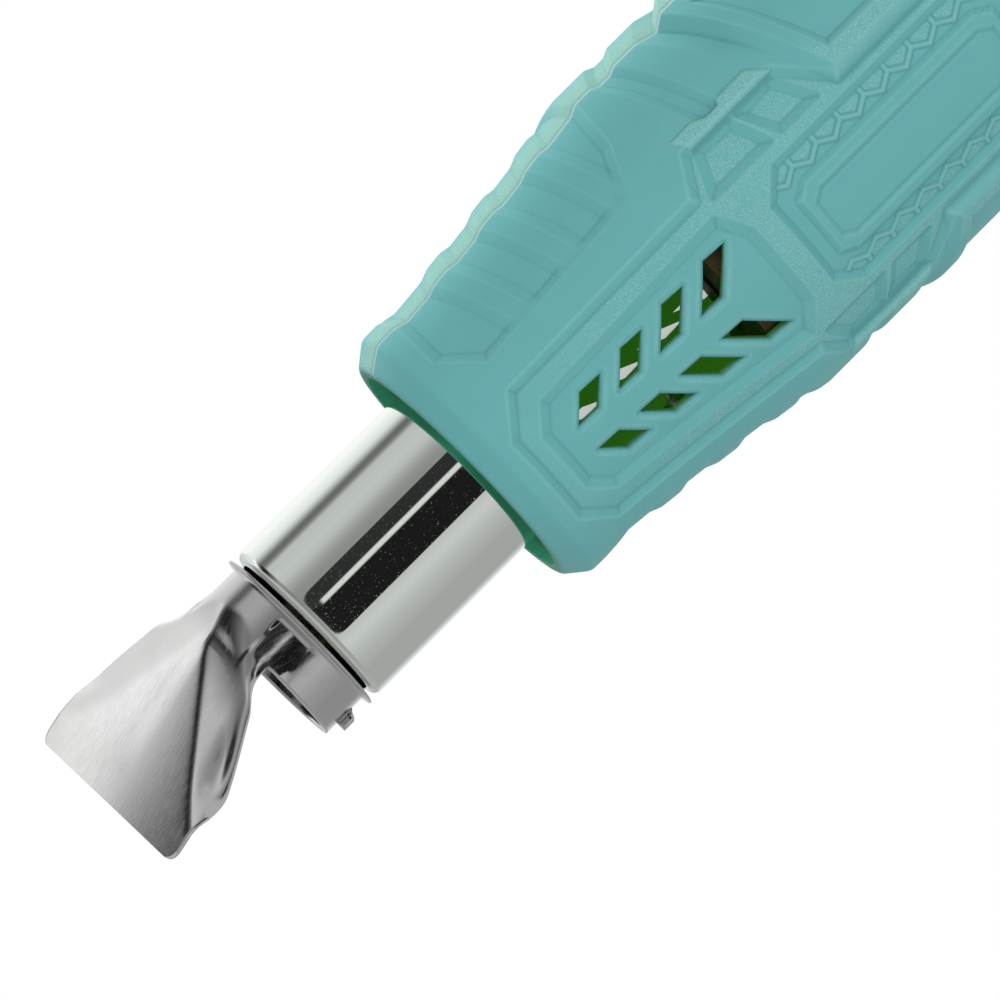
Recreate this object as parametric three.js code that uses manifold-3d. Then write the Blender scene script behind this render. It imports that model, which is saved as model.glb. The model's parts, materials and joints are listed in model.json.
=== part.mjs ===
import * as THREE from 'three';
import { mergeVertices } from 'three/addons/utils/BufferGeometryUtils.js';
import Module from 'manifold-3d';

const wasm = await Module();
wasm.setup();

// A craft hot air tool that stands on its tail: +Z runs from the tail to the nozzle, the front shell
// faces -Y and the two shells meet in the XZ plane. Sizes are in millimetres and angles in degrees.
// A depth is measured back from the nose plane, and an angle goes round the body from the middle of
// the front shell towards +X.

// Fits
const CLEARANCE = 0.3;
const SHAFT_CLEARANCE = 0.1;
const SLIVER = 0.03;

// Body
const BODY_LENGTH = 172;
const NOSE_RIM_RADIUS = 24.2;
const NOSE_RADIUS = 27.3;
const NOSE_EDGE = 3.8;
const NOSE_OPENING_RADIUS = 21.9;
const FLARE_START = 8;
const FLARE_POWER = 1.25;
const BARREL_RADIUS = 33.1;
const BARREL_START = 55;
const BARREL_END = 126;
const WAIST_STEP = 9.1;
const WAIST_DEPTH = 150;
const TAIL_FLARE = 1.5;
const TAIL_EDGE = 2;
const WALL = 4.2;
const BASE_WALL = 3;
const WAIST_RADIUS = BARREL_RADIUS - WAIST_STEP;
const TAIL_RADIUS = WAIST_RADIUS + TAIL_FLARE;
const CASE_SIDES = 40;

// Relief of the body: levels above and below the skin
const LEDGE_LEVEL = -1.1;
const FIELD_LEVEL = -2.2;
const LABEL_LEVEL = -1.9;
const RIB_LEVEL = -0.3;
const RIB_VALLEY_LEVEL = -0.9;
const GROOVE_LEVEL = -0.8;
const STRIP_LEVEL = 0.35;
const POCKET_LEVEL = -2;
const PAD_GROOVE_LEVEL = -1.1;
const PAD_LEVEL = 0.9;
const PAD_FIELD_LEVEL = 0.1;
const GRIP_LEVEL = -0.6;
const LABEL_BACK = 117;

// Vents and intake
const VENT_COUNT = 4;
const VENT_START = 16.8;
const VENT_PITCH = 8.95;
const VENT_WIDTH = 4.5;
const VENT_INNER = 3;
const VENT_OUTER = 7.6;
const VENT_OUTER_STEP = 0.9;
const VENT_SLANT = 0.85;
const INTAKE_COUNT = 7;
const INTAKE_STEP = 9;
const INTAKE_HALF_ANGLE = 2;
const INTAKE_START = 128;
const INTAKE_LENGTH = 11;
const RIB_COUNT = 3;
const RIB_START = 16.1;
const RIB_PITCH = 12.1;
const RIB_WIDTH = 5.4;
const RIB_SLANT = 4.6;
const GRIP_COUNT = 4;
const GRIP_START = 142;
const GRIP_PITCH = 3;
const GRIP_WIDTH = 1.4;

// Barrel tube and heater
const TUBE_RADIUS = 16.5;
const TUBE_WALL = 0.8;
const TUBE_REACH = 36.9;
const TUBE_DEPTH = 50;
const TUBE_SHOULDER = 1.6;
const TUBE_SHOULDER_LENGTH = 1.6;
const RING_THICKNESS = 4;
const RING_BORE_RADIUS = 12;
const RING_SPIGOT_WALL = 2;
const RING_SPIGOT_HEIGHT = 4;
const LINER_WALL = 0.5;
const LINER_LENGTH = 70;
const PLATE_LENGTH = 68;
const PLATE_END = 5.5;
const PLATE_THICKNESS = 0.8;
const COIL_RADIUS = 12;
const COIL_WIRE_RADIUS = 0.6;
const COIL_TURNS = 10;
const COIL_PITCH = 5.2;
const COIL_STEPS = 12;
const COIL_SIDES = 5;
const CUTOUT_SIZE = [6, 3, 9];
const FUSE_RADIUS = 1.5;
const FUSE_LENGTH = 11;

// Deflector nozzle
const SHEET = 0.7;
const SPIGOT_RADIUS = 14.3;
const SPIGOT_LENGTH = 7.8;
const FLANGE_RADIUS = 16.75;
const FLANGE_GAP = 0.9;
const COLLAR_RADIUS = 15.1;
const COLLAR_LENGTH = 8.4;
const BLADE_AZIMUTH = 78;
const BLADE_HALF_ARC = 54;
const BLADE_LENGTH = 38.6;
const BLADE_OVERLAP = 4.6;
const BLADE_TIP_OFFSET = 4.4;
const BLADE_TIP_WIDTH = 48.4;
const BLADE_CORNER = 2.2;
const BLADE_CROWN = 0.6;
const WING_DROP = 3.5;
const TAB_AZIMUTH = -64;
const TAB_SIZE = [2.4, 3.5];
const TAB_STAND = 1.8;

// Fan and motor
const FAN_GAP = 0.7;
const FAN_HEIGHT = 11;
const FAN_HUB_RADIUS = 6.5;
const FAN_BLADES = 7;
const FAN_BLADE_THICKNESS = 1.2;
const FAN_BLADE_TILT = 38;
const FAN_LIFT = 3;
const FRAME_HEIGHT = 24;
const FRAME_WALL = 5.6;
const FRAME_VANES = 4;
const VANE_THICKNESS = 2;
const VANE_HEIGHT = 8;
const CUP_WALL = 2;
const CUP_HEIGHT = 16;
const CUP_FLOOR = 2;
const MOTOR_RADIUS = 13.85;
const MOTOR_LENGTH = 37.4;
const MOTOR_WALL = 1.2;
const MOTOR_FRONT_WALL = 1.5;
const MAGNET_THICKNESS = 1.9;
const MAGNET_LENGTH = 26;
const MAGNET_ARC = 140;
const ARMATURE_GAP = 0.6;
const ARMATURE_LENGTH = 22;
const ARMATURE_SLOTS = 5;
const ARMATURE_SLOT_WIDTH = 2.4;
const ARMATURE_SLOT_DEPTH = 4.5;
const COMMUTATOR_RADIUS = 3.6;
const COMMUTATOR_LENGTH = 4.5;
const SHAFT_RADIUS = 1.15;
const SHAFT_TAIL = 4;
const BUSH_RADIUS = 3;
const BUSH_LENGTH = 4;
const END_CAP_THICKNESS = 3.3;
const END_CAP_SPIGOT = 2.5;
const END_CAP_BOSS_RADIUS = 5;
const MOTOR_SCREW_CIRCLE = 8;
const RIB_THICKNESS = 2;

// Circuit board
const BOARD_THICKNESS = 1.6;
const BOARD_GAP = 3.4;
const BOARD_FACE = 8;
const BOARD_BOTTOM = 24;
const RAIL_WIDTH = 2.5;
const RAIL_GRIP = 1.5;
const RECTIFIER_SIZE = [9, 4];
const RECTIFIER_SHARE = 0.35;
const CAPACITOR_RADIUS = 3;
const CAPACITOR_SHARE = 0.5;
const CAPACITOR_EDGE = 0.5;
const BOARD_PIECE_GAP = 1;

// Rocker switch
const SWITCH_HEIGHT = 20;
const SWITCH_BEZEL = [15, 21];
const SWITCH_BEZEL_THICKNESS = 2;
const SWITCH_BODY = [13, 19];
const SWITCH_BODY_DEPTH = 12;
const SWITCH_POCKET_SINK = 2.5;
const SWITCH_POCKET_FACE = WAIST_RADIUS - SWITCH_POCKET_SINK;
const ROCKER_WIDTH = 10;
const ROCKER_HALF_LENGTH = 7.8;
const ROCKER_RISE = 2.6;
const ROCKER_DIP = 1.2;
const ROCKER_DEPTH = 2.5;
const ROCKER_PIN_RADIUS = 1;
const ROCKER_PIN_LENGTH = 0.9;
const TERMINAL_SIZE = [4.8, 8, 0.8];
const TERMINAL_SOCKET = 3;
const TERMINAL_PITCH = 6;

// Cord inlet
const GLAND_HEIGHT = 12;
const CORD_RADIUS = 2.7;
const GLAND_NECK_RADIUS = 4.1;
const GLAND_FLANGE_RADIUS = 6.2;
const GLAND_FLANGE_THICKNESS = 2;
const CLAMP_SIZE = [6, 2.4, 17];
const CLAMP_SCREW_PITCH = 11.6;
const CLAMP_POST_RADIUS = 2.5;

// Screws
const SCREW_RADIUS = 1.25;
const SCREW_HEAD_RADIUS = 2.6;
const SCREW_HEAD_HEIGHT = 2;
const SCREW_REACH = 9;
const SCREW_SEAT = 10;
const BOSS_WALL = 1.7;
const SEAT_WALL = 1.2;
const NOSE_SCREW = [21.2, 35];
const TAIL_SCREW = [6.5, 33];
const SHELL_SCREWS = [
  [NOSE_SCREW[0], BODY_LENGTH - NOSE_SCREW[1]],
  [WAIST_RADIUS - TAIL_SCREW[0], TAIL_SCREW[1]],
];
const CLAMP_SCREW_LENGTH = 8;

const radians = THREE.MathUtils.degToRad;
const lerp = THREE.MathUtils.lerp;
const ease = (t) => THREE.MathUtils.smoothstep(t, 0, 1);
const FAR = 3 * BARREL_RADIUS;
const FACET = 360 / CASE_SIDES;

// Solids from geometry, and back
function solid(geometry) {
  const bare = new THREE.BufferGeometry();
  bare.setAttribute('position', geometry.getAttribute('position').clone());
  if (geometry.index) bare.setIndex(geometry.index.clone());
  const merged = mergeVertices(bare, 1e-4);
  const points = merged.getAttribute('position').array;
  const corners = merged.index.array;
  const kept = [];
  let volume = 0;
  const [a, b, c] = [new THREE.Vector3(), new THREE.Vector3(), new THREE.Vector3()];
  for (let i = 0; i < corners.length; i += 3) {
    const [p, q, r] = [corners[i], corners[i + 1], corners[i + 2]];
    if (p === q || q === r || r === p) continue;
    kept.push(p, q, r);
    a.fromArray(points, 3 * p);
    b.fromArray(points, 3 * q);
    c.fromArray(points, 3 * r);
    volume += a.dot(b.cross(c));
  }
  const triVerts = new Uint32Array(volume < 0 ? kept.reverse() : kept);
  return new wasm.Manifold(new wasm.Mesh({ numProp: 3, vertProperties: new Float32Array(points), triVerts }));
}

function geometryOf(body) {
  const mesh = body.asOriginal().simplify(SLIVER).getMesh();
  const geometry = new THREE.BufferGeometry();
  geometry.setAttribute('position', new THREE.BufferAttribute(new Float32Array(mesh.vertProperties), 3));
  geometry.setIndex(new THREE.BufferAttribute(new Uint32Array(mesh.triVerts), 1));
  geometry.computeVertexNormals();
  return geometry;
}

const cut = (body, ...tools) => tools.reduce((rest, tool) => rest.subtract(tool), body);
const join = (...bodies) => bodies.reduce((sum, body) => sum.add(body));

// Basic shapes
function revolve(profile, sides) {
  const points = profile.map(([r, z]) => new THREE.Vector2(r, z));
  if (profile[0][0] > 0) points.push(points[0].clone());
  return solid(new THREE.LatheGeometry(points, sides).rotateX(Math.PI / 2));
}

function ring(inner, outer, low, high, sides = 32) {
  if (inner <= 0) return revolve([[0, low], [outer, low], [outer, high], [0, high]], sides);
  return revolve([[inner, low], [outer, low], [outer, high], [inner, high]], sides);
}

function block([x0, x1], [y0, y1], [z0, z1]) {
  const geometry = new THREE.BoxGeometry(x1 - x0, y1 - y0, z1 - z0);
  return solid(geometry.translate((x0 + x1) / 2, (y0 + y1) / 2, (z0 + z1) / 2));
}

// A rod along Y or X, with its ends given along that axis
function rodY(radius, x, z, [y0, y1], sides = 16) {
  return solid(new THREE.CylinderGeometry(radius, radius, y1 - y0, sides).translate(x, (y0 + y1) / 2, z));
}

function rodX(radius, y, z, [x0, x1], sides = 16) {
  const geometry = new THREE.CylinderGeometry(radius, radius, x1 - x0, sides).rotateZ(Math.PI / 2);
  return solid(geometry.translate((x0 + x1) / 2, y, z));
}

// Corners added along an outline in depth and angle, so that its edges follow the round of the body
function refined(outline) {
  return outline.flatMap(([depth, angle], i) => {
    const [nextDepth, nextAngle] = outline[(i + 1) % outline.length];
    const pieces = Math.max(1, Math.round(Math.abs(nextAngle - angle) / FACET));
    return Array.from({ length: pieces }, (_, k) => {
      return new THREE.Vector2(lerp(angle, nextAngle, k / pieces), lerp(depth, nextDepth, k / pieces));
    });
  });
}

// An outline in depth and angle, pushed outwards through the wall of the body
function wedge(outline) {
  const shape = new THREE.Shape(refined(outline));
  const near = WAIST_RADIUS / 2;
  const geometry = new THREE.ExtrudeGeometry(shape, { depth: BARREL_RADIUS, bevelEnabled: false });
  const place = geometry.getAttribute('position');
  for (let i = 0; i < place.count; i += 1) {
    const turn = radians(place.getX(i));
    const reach = near + place.getZ(i);
    place.setXYZ(i, reach * Math.sin(turn), -reach * Math.cos(turn), BODY_LENGTH - place.getY(i));
  }
  return solid(geometry);
}

const mirrored = (outline) => outline.map(([depth, angle]) => [depth, -angle]).reverse();
const symmetric = (right) => [...right, ...mirrored(right)];

// Body: the outer radius at a depth, and solids of revolution at a level from the skin
function skinRadius(depth) {
  if (depth < NOSE_EDGE) return lerp(NOSE_RIM_RADIUS, NOSE_RADIUS, depth / NOSE_EDGE);
  const flare = THREE.MathUtils.clamp((depth - FLARE_START) / (BARREL_START - FLARE_START), 0, 1);
  if (depth <= BARREL_END) return lerp(NOSE_RADIUS, BARREL_RADIUS, flare ** FLARE_POWER);
  if (depth <= WAIST_DEPTH) {
    return lerp(BARREL_RADIUS, WAIST_RADIUS, ease((depth - BARREL_END) / (WAIST_DEPTH - BARREL_END)));
  }
  const tailDepth = BODY_LENGTH - TAIL_EDGE;
  if (depth <= tailDepth) {
    return lerp(WAIST_RADIUS, TAIL_RADIUS, ease((depth - WAIST_DEPTH) / (tailDepth - WAIST_DEPTH)));
  }
  return TAIL_RADIUS - (depth - tailDepth);
}

const between = (from, to, count) => Array.from({ length: count }, (_, i) => lerp(from, to, i / count));
const STATIONS = [
  0,
  NOSE_EDGE,
  ...between(FLARE_START, BARREL_START, 3),
  ...between(BARREL_START, BARREL_END, 1),
  ...between(BARREL_END, WAIST_DEPTH, 4),
  ...between(WAIST_DEPTH, BODY_LENGTH - TAIL_EDGE, 2),
  BODY_LENGTH - TAIL_EDGE,
  BODY_LENGTH,
];

function bodyAt(level) {
  const wall = STATIONS.map((depth) => [skinRadius(depth) + level, BODY_LENGTH - depth]);
  return revolve([[0, BODY_LENGTH], ...wall, [0, 0]], CASE_SIDES);
}

const innerRadius = (depth) => Math.max(NOSE_OPENING_RADIUS, skinRadius(depth) - WALL);
const innerRadiusAtHeight = (z) => innerRadius(BODY_LENGTH - z);

function bodyHollow() {
  const depths = [0, ...STATIONS.filter((depth) => depth > NOSE_EDGE && depth < BODY_LENGTH - BASE_WALL)];
  const last = BODY_LENGTH - BASE_WALL;
  const wall = [...depths, last].map((depth) => [innerRadius(depth), BODY_LENGTH - depth]);
  const open = [wall[0][0], BODY_LENGTH + 1];
  const tailWall = wall.map(([r, z]) => {
    return [z < BODY_LENGTH - BARREL_END ? Math.min(r, skinRadius(BODY_LENGTH - z) - WALL) : r, z];
  });
  return revolve([[0, open[1]], open, ...tailWall, [0, BASE_WALL]], CASE_SIDES);
}

// Outlines of the relief on the right half of the front shell, as depth and angle
const SEAM = 93;
const LEDGE = [[7.2, 19], [12.6, 33], [55.5, 33], [60, 45], [79.5, 45], [85.5, 30], [LABEL_BACK + 1, 30]];
const VENT_FIELD = [[11.7, 12.6], [15.3, 22], [55.7, 25], [58.6, 15]];
const LABEL_FIELD = [[64.2, 15.7], [69, 24], [LABEL_BACK - 5, 24], [LABEL_BACK, 15.7]];
const LABEL_RIM = [[67.9, 11], [70.8, 14.6], [LABEL_BACK - 6.7, 14.6], [LABEL_BACK - 3.7, 11]];
const LABEL_FLOOR = [[69.8, 6.9], [72.2, 9.9], [LABEL_BACK - 8.1, 9.9], [LABEL_BACK - 5.5, 6.9]];
const RIB_PANEL = [[9.3, SEAM], [8.2, 61.6], [13.9, 47.9], [47.9, 49.4], [52.4, 65.4], [54.9, SEAM]];
const RIB_INNER = 46;
const GROOVE = [[58.8, SEAM], [62.8, SEAM], [70, 47], [66.1, 47]];
const STRIP = [
  [61.3, 45],
  [59.8, 49.8],
  [64.3, 50],
  [66.9, 48.3],
  [69.7, 48.3],
  [70.1, 49.7],
  [76.6, 49.9],
  [79.6, 45],
];
const POCKETS = [
  [[61.9, 43.6], [68.9, 42.6], [71.2, 30.2], [58.3, 30.2]],
  [[71, 42.6], [78.2, 43.8], [82, 30.2], [74.1, 30.2]],
];
const PAD = [[73.2, SEAM], [85.5, 30], [112.5, 30], [123, SEAM]];
const PAD_GROOVE = [[70.7, SEAM], [74.2, SEAM], [83.4, 46], [80.4, 46]];
const PAD_FIELD = [[80.9, 82], [89.5, 38], [107.7, 38], [115.3, 82]];

function ribOutline(index) {
  const start = RIB_START + index * RIB_PITCH;
  const end = start + RIB_WIDTH;
  return [[start, SEAM], [end, SEAM], [end + RIB_SLANT, RIB_INNER], [start + RIB_SLANT, RIB_INNER]];
}

function gripOutline(index) {
  const start = GRIP_START + index * GRIP_PITCH;
  return [[start, SEAM], [start + GRIP_WIDTH, SEAM], [start + GRIP_WIDTH, 42], [start, 42]];
}

// Half spaces of the two shells, and the front half of the body with its relief, still solid inside
const HALF_FRONT = block([-FAR, FAR], [-FAR, -CLEARANCE / 2], [-FAR, FAR + BODY_LENGTH]);
const HALF_REAR = block([-FAR, FAR], [CLEARANCE / 2, FAR], [-FAR, FAR + BODY_LENGTH]);

function reliefHalf() {
  const levels = new Map();
  const at = (level) => {
    if (!levels.has(level)) levels.set(level, bodyAt(level));
    return levels.get(level);
  };
  let body = at(0);
  const sink = (outline, level, ...spared) => {
    body = body.subtract(cut(wedge(outline), at(level), ...spared));
  };
  const raise = (outline, level) => {
    body = body.add(wedge(outline).intersect(at(level)));
  };
  const both = (outline, shape) => [outline, mirrored(outline)].forEach(shape);
  const ribs = Array.from({ length: RIB_COUNT }, (_, i) => ribOutline(i));
  sink(symmetric(LEDGE), LEDGE_LEVEL);
  sink(symmetric(VENT_FIELD), FIELD_LEVEL);
  sink(symmetric(LABEL_FIELD), FIELD_LEVEL);
  raise(symmetric(LABEL_RIM), LEDGE_LEVEL);
  sink(symmetric(LABEL_FLOOR), LABEL_LEVEL);
  both(RIB_PANEL, (outline) => {
    const side = Math.sign(outline[0][1]);
    const spared = ribs.map((rib) => wedge(side > 0 ? rib : mirrored(rib)));
    sink(outline, RIB_LEVEL);
    sink(outline, RIB_VALLEY_LEVEL, ...spared);
  });
  both(GROOVE, (outline) => sink(outline, GROOVE_LEVEL));
  both(STRIP, (outline) => raise(outline, STRIP_LEVEL));
  POCKETS.forEach((pocket) => both(pocket, (outline) => sink(outline, POCKET_LEVEL)));
  both(PAD_GROOVE, (outline) => sink(outline, PAD_GROOVE_LEVEL));
  both(PAD, (outline) => raise(outline, PAD_LEVEL));
  both(PAD_FIELD, (outline) => sink(outline, PAD_FIELD_LEVEL));
  for (let i = 0; i < GRIP_COUNT; i += 1) both(gripOutline(i), (outline) => sink(outline, GRIP_LEVEL));
  return body.intersect(HALF_FRONT);
}

// Openings that both shells have: chevron vents by the tube and intake slots on the taper
function ventCutter(index, side) {
  const front = VENT_START + index * VENT_PITCH;
  const outer = VENT_OUTER + index * VENT_OUTER_STEP;
  const back = VENT_SLANT * (outer - VENT_INNER);
  const corners = [
    [VENT_INNER, front],
    [outer, front + back],
    [outer, front + back + VENT_WIDTH],
    [VENT_INNER, front + VENT_WIDTH],
  ];
  const points = corners.map(([x, depth]) => new THREE.Vector2(side * x, BODY_LENGTH - depth));
  const shape = new THREE.Shape(points);
  const geometry = new THREE.ExtrudeGeometry(shape, { depth: BARREL_RADIUS, bevelEnabled: false });
  return solid(geometry.rotateX(Math.PI / 2).translate(0, -TUBE_RADIUS / 2, 0));
}

function intakeCutter(index) {
  const middle = (index - (INTAKE_COUNT - 1) / 2) * INTAKE_STEP;
  const [low, high] = [middle - INTAKE_HALF_ANGLE, middle + INTAKE_HALF_ANGLE];
  const end = INTAKE_START + INTAKE_LENGTH;
  const outline = [[INTAKE_START, low], [INTAKE_START, high], [end, high], [end, low]];
  return wedge(outline).subtract(ring(0, WAIST_RADIUS - WALL - 2, 0, BODY_LENGTH));
}

// Heights of the stack in the barrel
const TUBE_LOW = BODY_LENGTH - TUBE_DEPTH;
const TUBE_HIGH = BODY_LENGTH + TUBE_REACH;
const TUBE_INNER_RADIUS = TUBE_RADIUS - TUBE_WALL;
const RING_HIGH = TUBE_LOW - CLEARANCE;
const RING_LOW = RING_HIGH - RING_THICKNESS;
const RING_RADIUS = innerRadiusAtHeight(RING_HIGH) - CLEARANCE;
const STOP_HIGH = RING_LOW - CLEARANCE;
const STOP_LOW = STOP_HIGH - RIB_THICKNESS;
const FRAME_HIGH = STOP_LOW - CLEARANCE;
const FRAME_LOW = FRAME_HIGH - FRAME_HEIGHT;
const FRAME_RADIUS = BARREL_RADIUS - WALL - CLEARANCE;
const FAN_SHROUD_RADIUS = FRAME_RADIUS - FRAME_WALL;
const FAN_RADIUS = FAN_SHROUD_RADIUS - FAN_GAP;
const CUP_HIGH = FRAME_LOW + VANE_HEIGHT;
const CUP_LOW = CUP_HIGH - CUP_HEIGHT;
const CUP_INNER = MOTOR_RADIUS + CLEARANCE;
const MOTOR_HIGH = CUP_HIGH - CUP_FLOOR - CLEARANCE;
const MOTOR_LOW = MOTOR_HIGH - MOTOR_LENGTH;
const END_CAP_HIGH = MOTOR_LOW - CLEARANCE;
const END_CAP_LOW = END_CAP_HIGH - END_CAP_THICKNESS;
const SHAFT_LOW = END_CAP_LOW - SHAFT_TAIL;
const FAN_LOW = CUP_HIGH + FAN_LIFT;
const SPIGOT_TOP = RING_HIGH + RING_SPIGOT_HEIGHT;
const HEATER_LOW = SPIGOT_TOP + CLEARANCE;

// Bosses for the screws that close the shells, with pilot holes in front and seats behind
const BOSS_RADIUS = SCREW_RADIUS + CLEARANCE + BOSS_WALL;
const SEAT_RADIUS = SCREW_HEAD_RADIUS + CLEARANCE;
const SEAT_BOSS_RADIUS = SEAT_RADIUS + SEAT_WALL;
const SCREW_PLACES = SHELL_SCREWS.flatMap(([x, z]) => [[x, z], [-x, z]]);

function insideRing(low, high, inner) {
  return ring(inner, innerRadiusAtHeight(low) + WALL / 3, low, high, CASE_SIDES);
}

function seatRibs() {
  const shoulder = FRAME_RADIUS - (FRAME_RADIUS - FAN_SHROUD_RADIUS) / 2;
  const upper = insideRing(RING_HIGH + CLEARANCE, RING_HIGH + CLEARANCE + RIB_THICKNESS, RING_RADIUS - 3);
  const sides = block([-FAR, FAR], [-TUBE_RADIUS / 1.5, TUBE_RADIUS / 1.5], [0, BODY_LENGTH]);
  return join(
    insideRing(STOP_LOW, STOP_HIGH, shoulder),
    insideRing(FRAME_LOW - CLEARANCE - RIB_THICKNESS, FRAME_LOW - CLEARANCE, shoulder),
    upper.intersect(sides),
  );
}

const SKIN = bodyAt(-WALL / 2);
const HOLLOW = bodyHollow();
const VENTS = [1, -1].flatMap((side) => Array.from({ length: VENT_COUNT }, (_, i) => ventCutter(i, side)));
const INTAKES = Array.from({ length: INTAKE_COUNT }, (_, i) => intakeCutter(i));

// Cord gland: its flanges clear the wall over their whole height, and the clamp lies behind the inner one
const GLAND_SKINS = [-1, 0, 1].map((side) => {
  return skinRadius(BODY_LENGTH - GLAND_HEIGHT + side * GLAND_FLANGE_RADIUS);
});
const GLAND_OUT = -Math.max(...GLAND_SKINS) - CLEARANCE;
const GLAND_WALL = Math.min(...GLAND_SKINS) - WALL - CLEARANCE;
const GLAND_IN = -Math.sqrt(GLAND_WALL ** 2 - GLAND_FLANGE_RADIUS ** 2) + CLEARANCE;
const CLAMP_X = GLAND_IN + GLAND_FLANGE_THICKNESS + CLEARANCE + CLAMP_SIZE[0] / 2;
const GLAND_HOLE_ENDS = [-FAR, CLAMP_X - CLAMP_SIZE[0] / 2];
const GLAND_HOLE = rodX(GLAND_NECK_RADIUS + CLEARANCE, 0, GLAND_HEIGHT, GLAND_HOLE_ENDS, 24);

const SHELL_BASE = cut(reliefHalf(), HOLLOW, ...VENTS, ...INTAKES);

// Switch opening in the front shell
const SWITCH_POCKET = block(
  [-SWITCH_BEZEL[0] / 2 - CLEARANCE, SWITCH_BEZEL[0] / 2 + CLEARANCE],
  [-FAR, -SWITCH_POCKET_FACE],
  [SWITCH_HEIGHT - SWITCH_BEZEL[1] / 2 - CLEARANCE, SWITCH_HEIGHT + SWITCH_BEZEL[1] / 2 + CLEARANCE],
);
const SWITCH_HOLE = block(
  [-SWITCH_BODY[0] / 2 - CLEARANCE, SWITCH_BODY[0] / 2 + CLEARANCE],
  [-FAR, -SWITCH_POCKET_FACE / 2],
  [SWITCH_HEIGHT - SWITCH_BODY[1] / 2 - CLEARANCE, SWITCH_HEIGHT + SWITCH_BODY[1] / 2 + CLEARANCE],
);

function frontShell() {
  const bosses = SCREW_PLACES.map(([x, z]) => rodY(BOSS_RADIUS, x, z, [-BODY_LENGTH / 2, 0]));
  const pilotEnds = [-SCREW_REACH - CLEARANCE, 1];
  const pilots = SCREW_PLACES.map(([x, z]) => rodY(SCREW_RADIUS + CLEARANCE, x, z, pilotEnds));
  const fittings = join(seatRibs(), ...bosses).intersect(HALF_FRONT).intersect(SKIN);
  return cut(join(SHELL_BASE, fittings), ...pilots, SWITCH_POCKET, SWITCH_HOLE, GLAND_HOLE);
}

// Rails for the circuit board, which fits between the tail bosses, and posts for the cord clamp
const BOARD_HALF = WAIST_RADIUS - TAIL_SCREW[0] - SEAT_BOSS_RADIUS - CLEARANCE;
const BOARD_BACK = BOARD_FACE + BOARD_THICKNESS;
const BOARD_HEIGHT = SHAFT_LOW - BOARD_GAP - BOARD_BOTTOM;
const CLAMP_SEAT = -CORD_RADIUS;

function boardRails() {
  const heights = [BOARD_BOTTOM - CLEARANCE, BOARD_BOTTOM + BOARD_HEIGHT];
  const rails = [1, -1].map((side) => {
    const near = side * (BOARD_HALF - RAIL_GRIP);
    const far = near + side * RAIL_WIDTH;
    const across = [Math.min(near, far), Math.max(near, far)];
    return block(across, [BOARD_FACE - RAIL_WIDTH, BARREL_RADIUS], heights);
  });
  const slot = block(
    [-BOARD_HALF - CLEARANCE, BOARD_HALF + CLEARANCE],
    [BOARD_FACE - CLEARANCE, BOARD_BACK + CLEARANCE],
    [BOARD_BOTTOM - CLEARANCE / 2, FAR],
  );
  return { rails: join(...rails), slot };
}

const CLAMP_PLACES = [1, -1].map((side) => [CLAMP_X, GLAND_HEIGHT + (side * CLAMP_SCREW_PITCH) / 2]);

function rearShell() {
  const base = solid(geometryOf(SHELL_BASE).rotateZ(Math.PI));
  const bosses = SCREW_PLACES.map(([x, z]) => rodY(SEAT_BOSS_RADIUS, x, z, [0, BODY_LENGTH / 2]));
  const posts = CLAMP_PLACES.map(([x, z]) => rodY(CLAMP_POST_RADIUS, x, z, [CLAMP_SEAT, BODY_LENGTH / 2]));
  const { rails, slot } = boardRails();
  const fittings = join(cut(rails, slot), seatRibs(), ...bosses).intersect(HALF_REAR);
  const inner = join(fittings, ...posts).intersect(SKIN);
  const passages = SCREW_PLACES.map(([x, z]) => rodY(SCREW_RADIUS + CLEARANCE, x, z, [-1, SCREW_SEAT + 1]));
  const seats = SCREW_PLACES.map(([x, z]) => rodY(SEAT_RADIUS, x, z, [SCREW_SEAT, FAR]));
  const pilots = CLAMP_PLACES.map(([x, z]) => {
    return rodY(SCREW_RADIUS + CLEARANCE, x, z, [CLAMP_SEAT - 1, CLAMP_SEAT + CLAMP_SCREW_LENGTH]);
  });
  return cut(join(base, inner), ...passages, ...seats, ...pilots, GLAND_HOLE);
}

// Screw with its head at the high end of Y
function screw(x, z, seat, length) {
  const shank = rodY(SCREW_RADIUS, x, z, [seat - length, seat + 0.5], 12);
  const head = rodY(SCREW_HEAD_RADIUS, x, z, [seat, seat + SCREW_HEAD_HEIGHT], 12);
  const slotHalf = SCREW_HEAD_RADIUS / 1.6;
  const top = [seat + SCREW_HEAD_HEIGHT / 2, FAR];
  const cross = join(
    block([x - slotHalf, x + slotHalf], top, [z - 0.35, z + 0.35]),
    block([x - 0.35, x + 0.35], top, [z - slotHalf, z + slotHalf]),
  );
  return cut(join(shank, head), cross);
}

// Barrel tube with its end rolled in to a mouth that takes the nozzle's spigot
function barrelTube() {
  const mouth = SPIGOT_RADIUS + CLEARANCE;
  const roll = [0, 30, 60, 90].map((turn) => [
    TUBE_RADIUS - TUBE_SHOULDER * (1 - Math.cos(radians(turn))),
    TUBE_HIGH - TUBE_SHOULDER_LENGTH * (1 - Math.sin(radians(turn))),
  ]);
  const inside = [
    [mouth, TUBE_HIGH],
    [mouth, TUBE_HIGH - TUBE_WALL],
    [TUBE_INNER_RADIUS, TUBE_HIGH - 2 * TUBE_SHOULDER],
  ];
  return revolve([[TUBE_INNER_RADIUS, TUBE_LOW], [TUBE_RADIUS, TUBE_LOW], ...roll, ...inside], 40);
}

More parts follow.
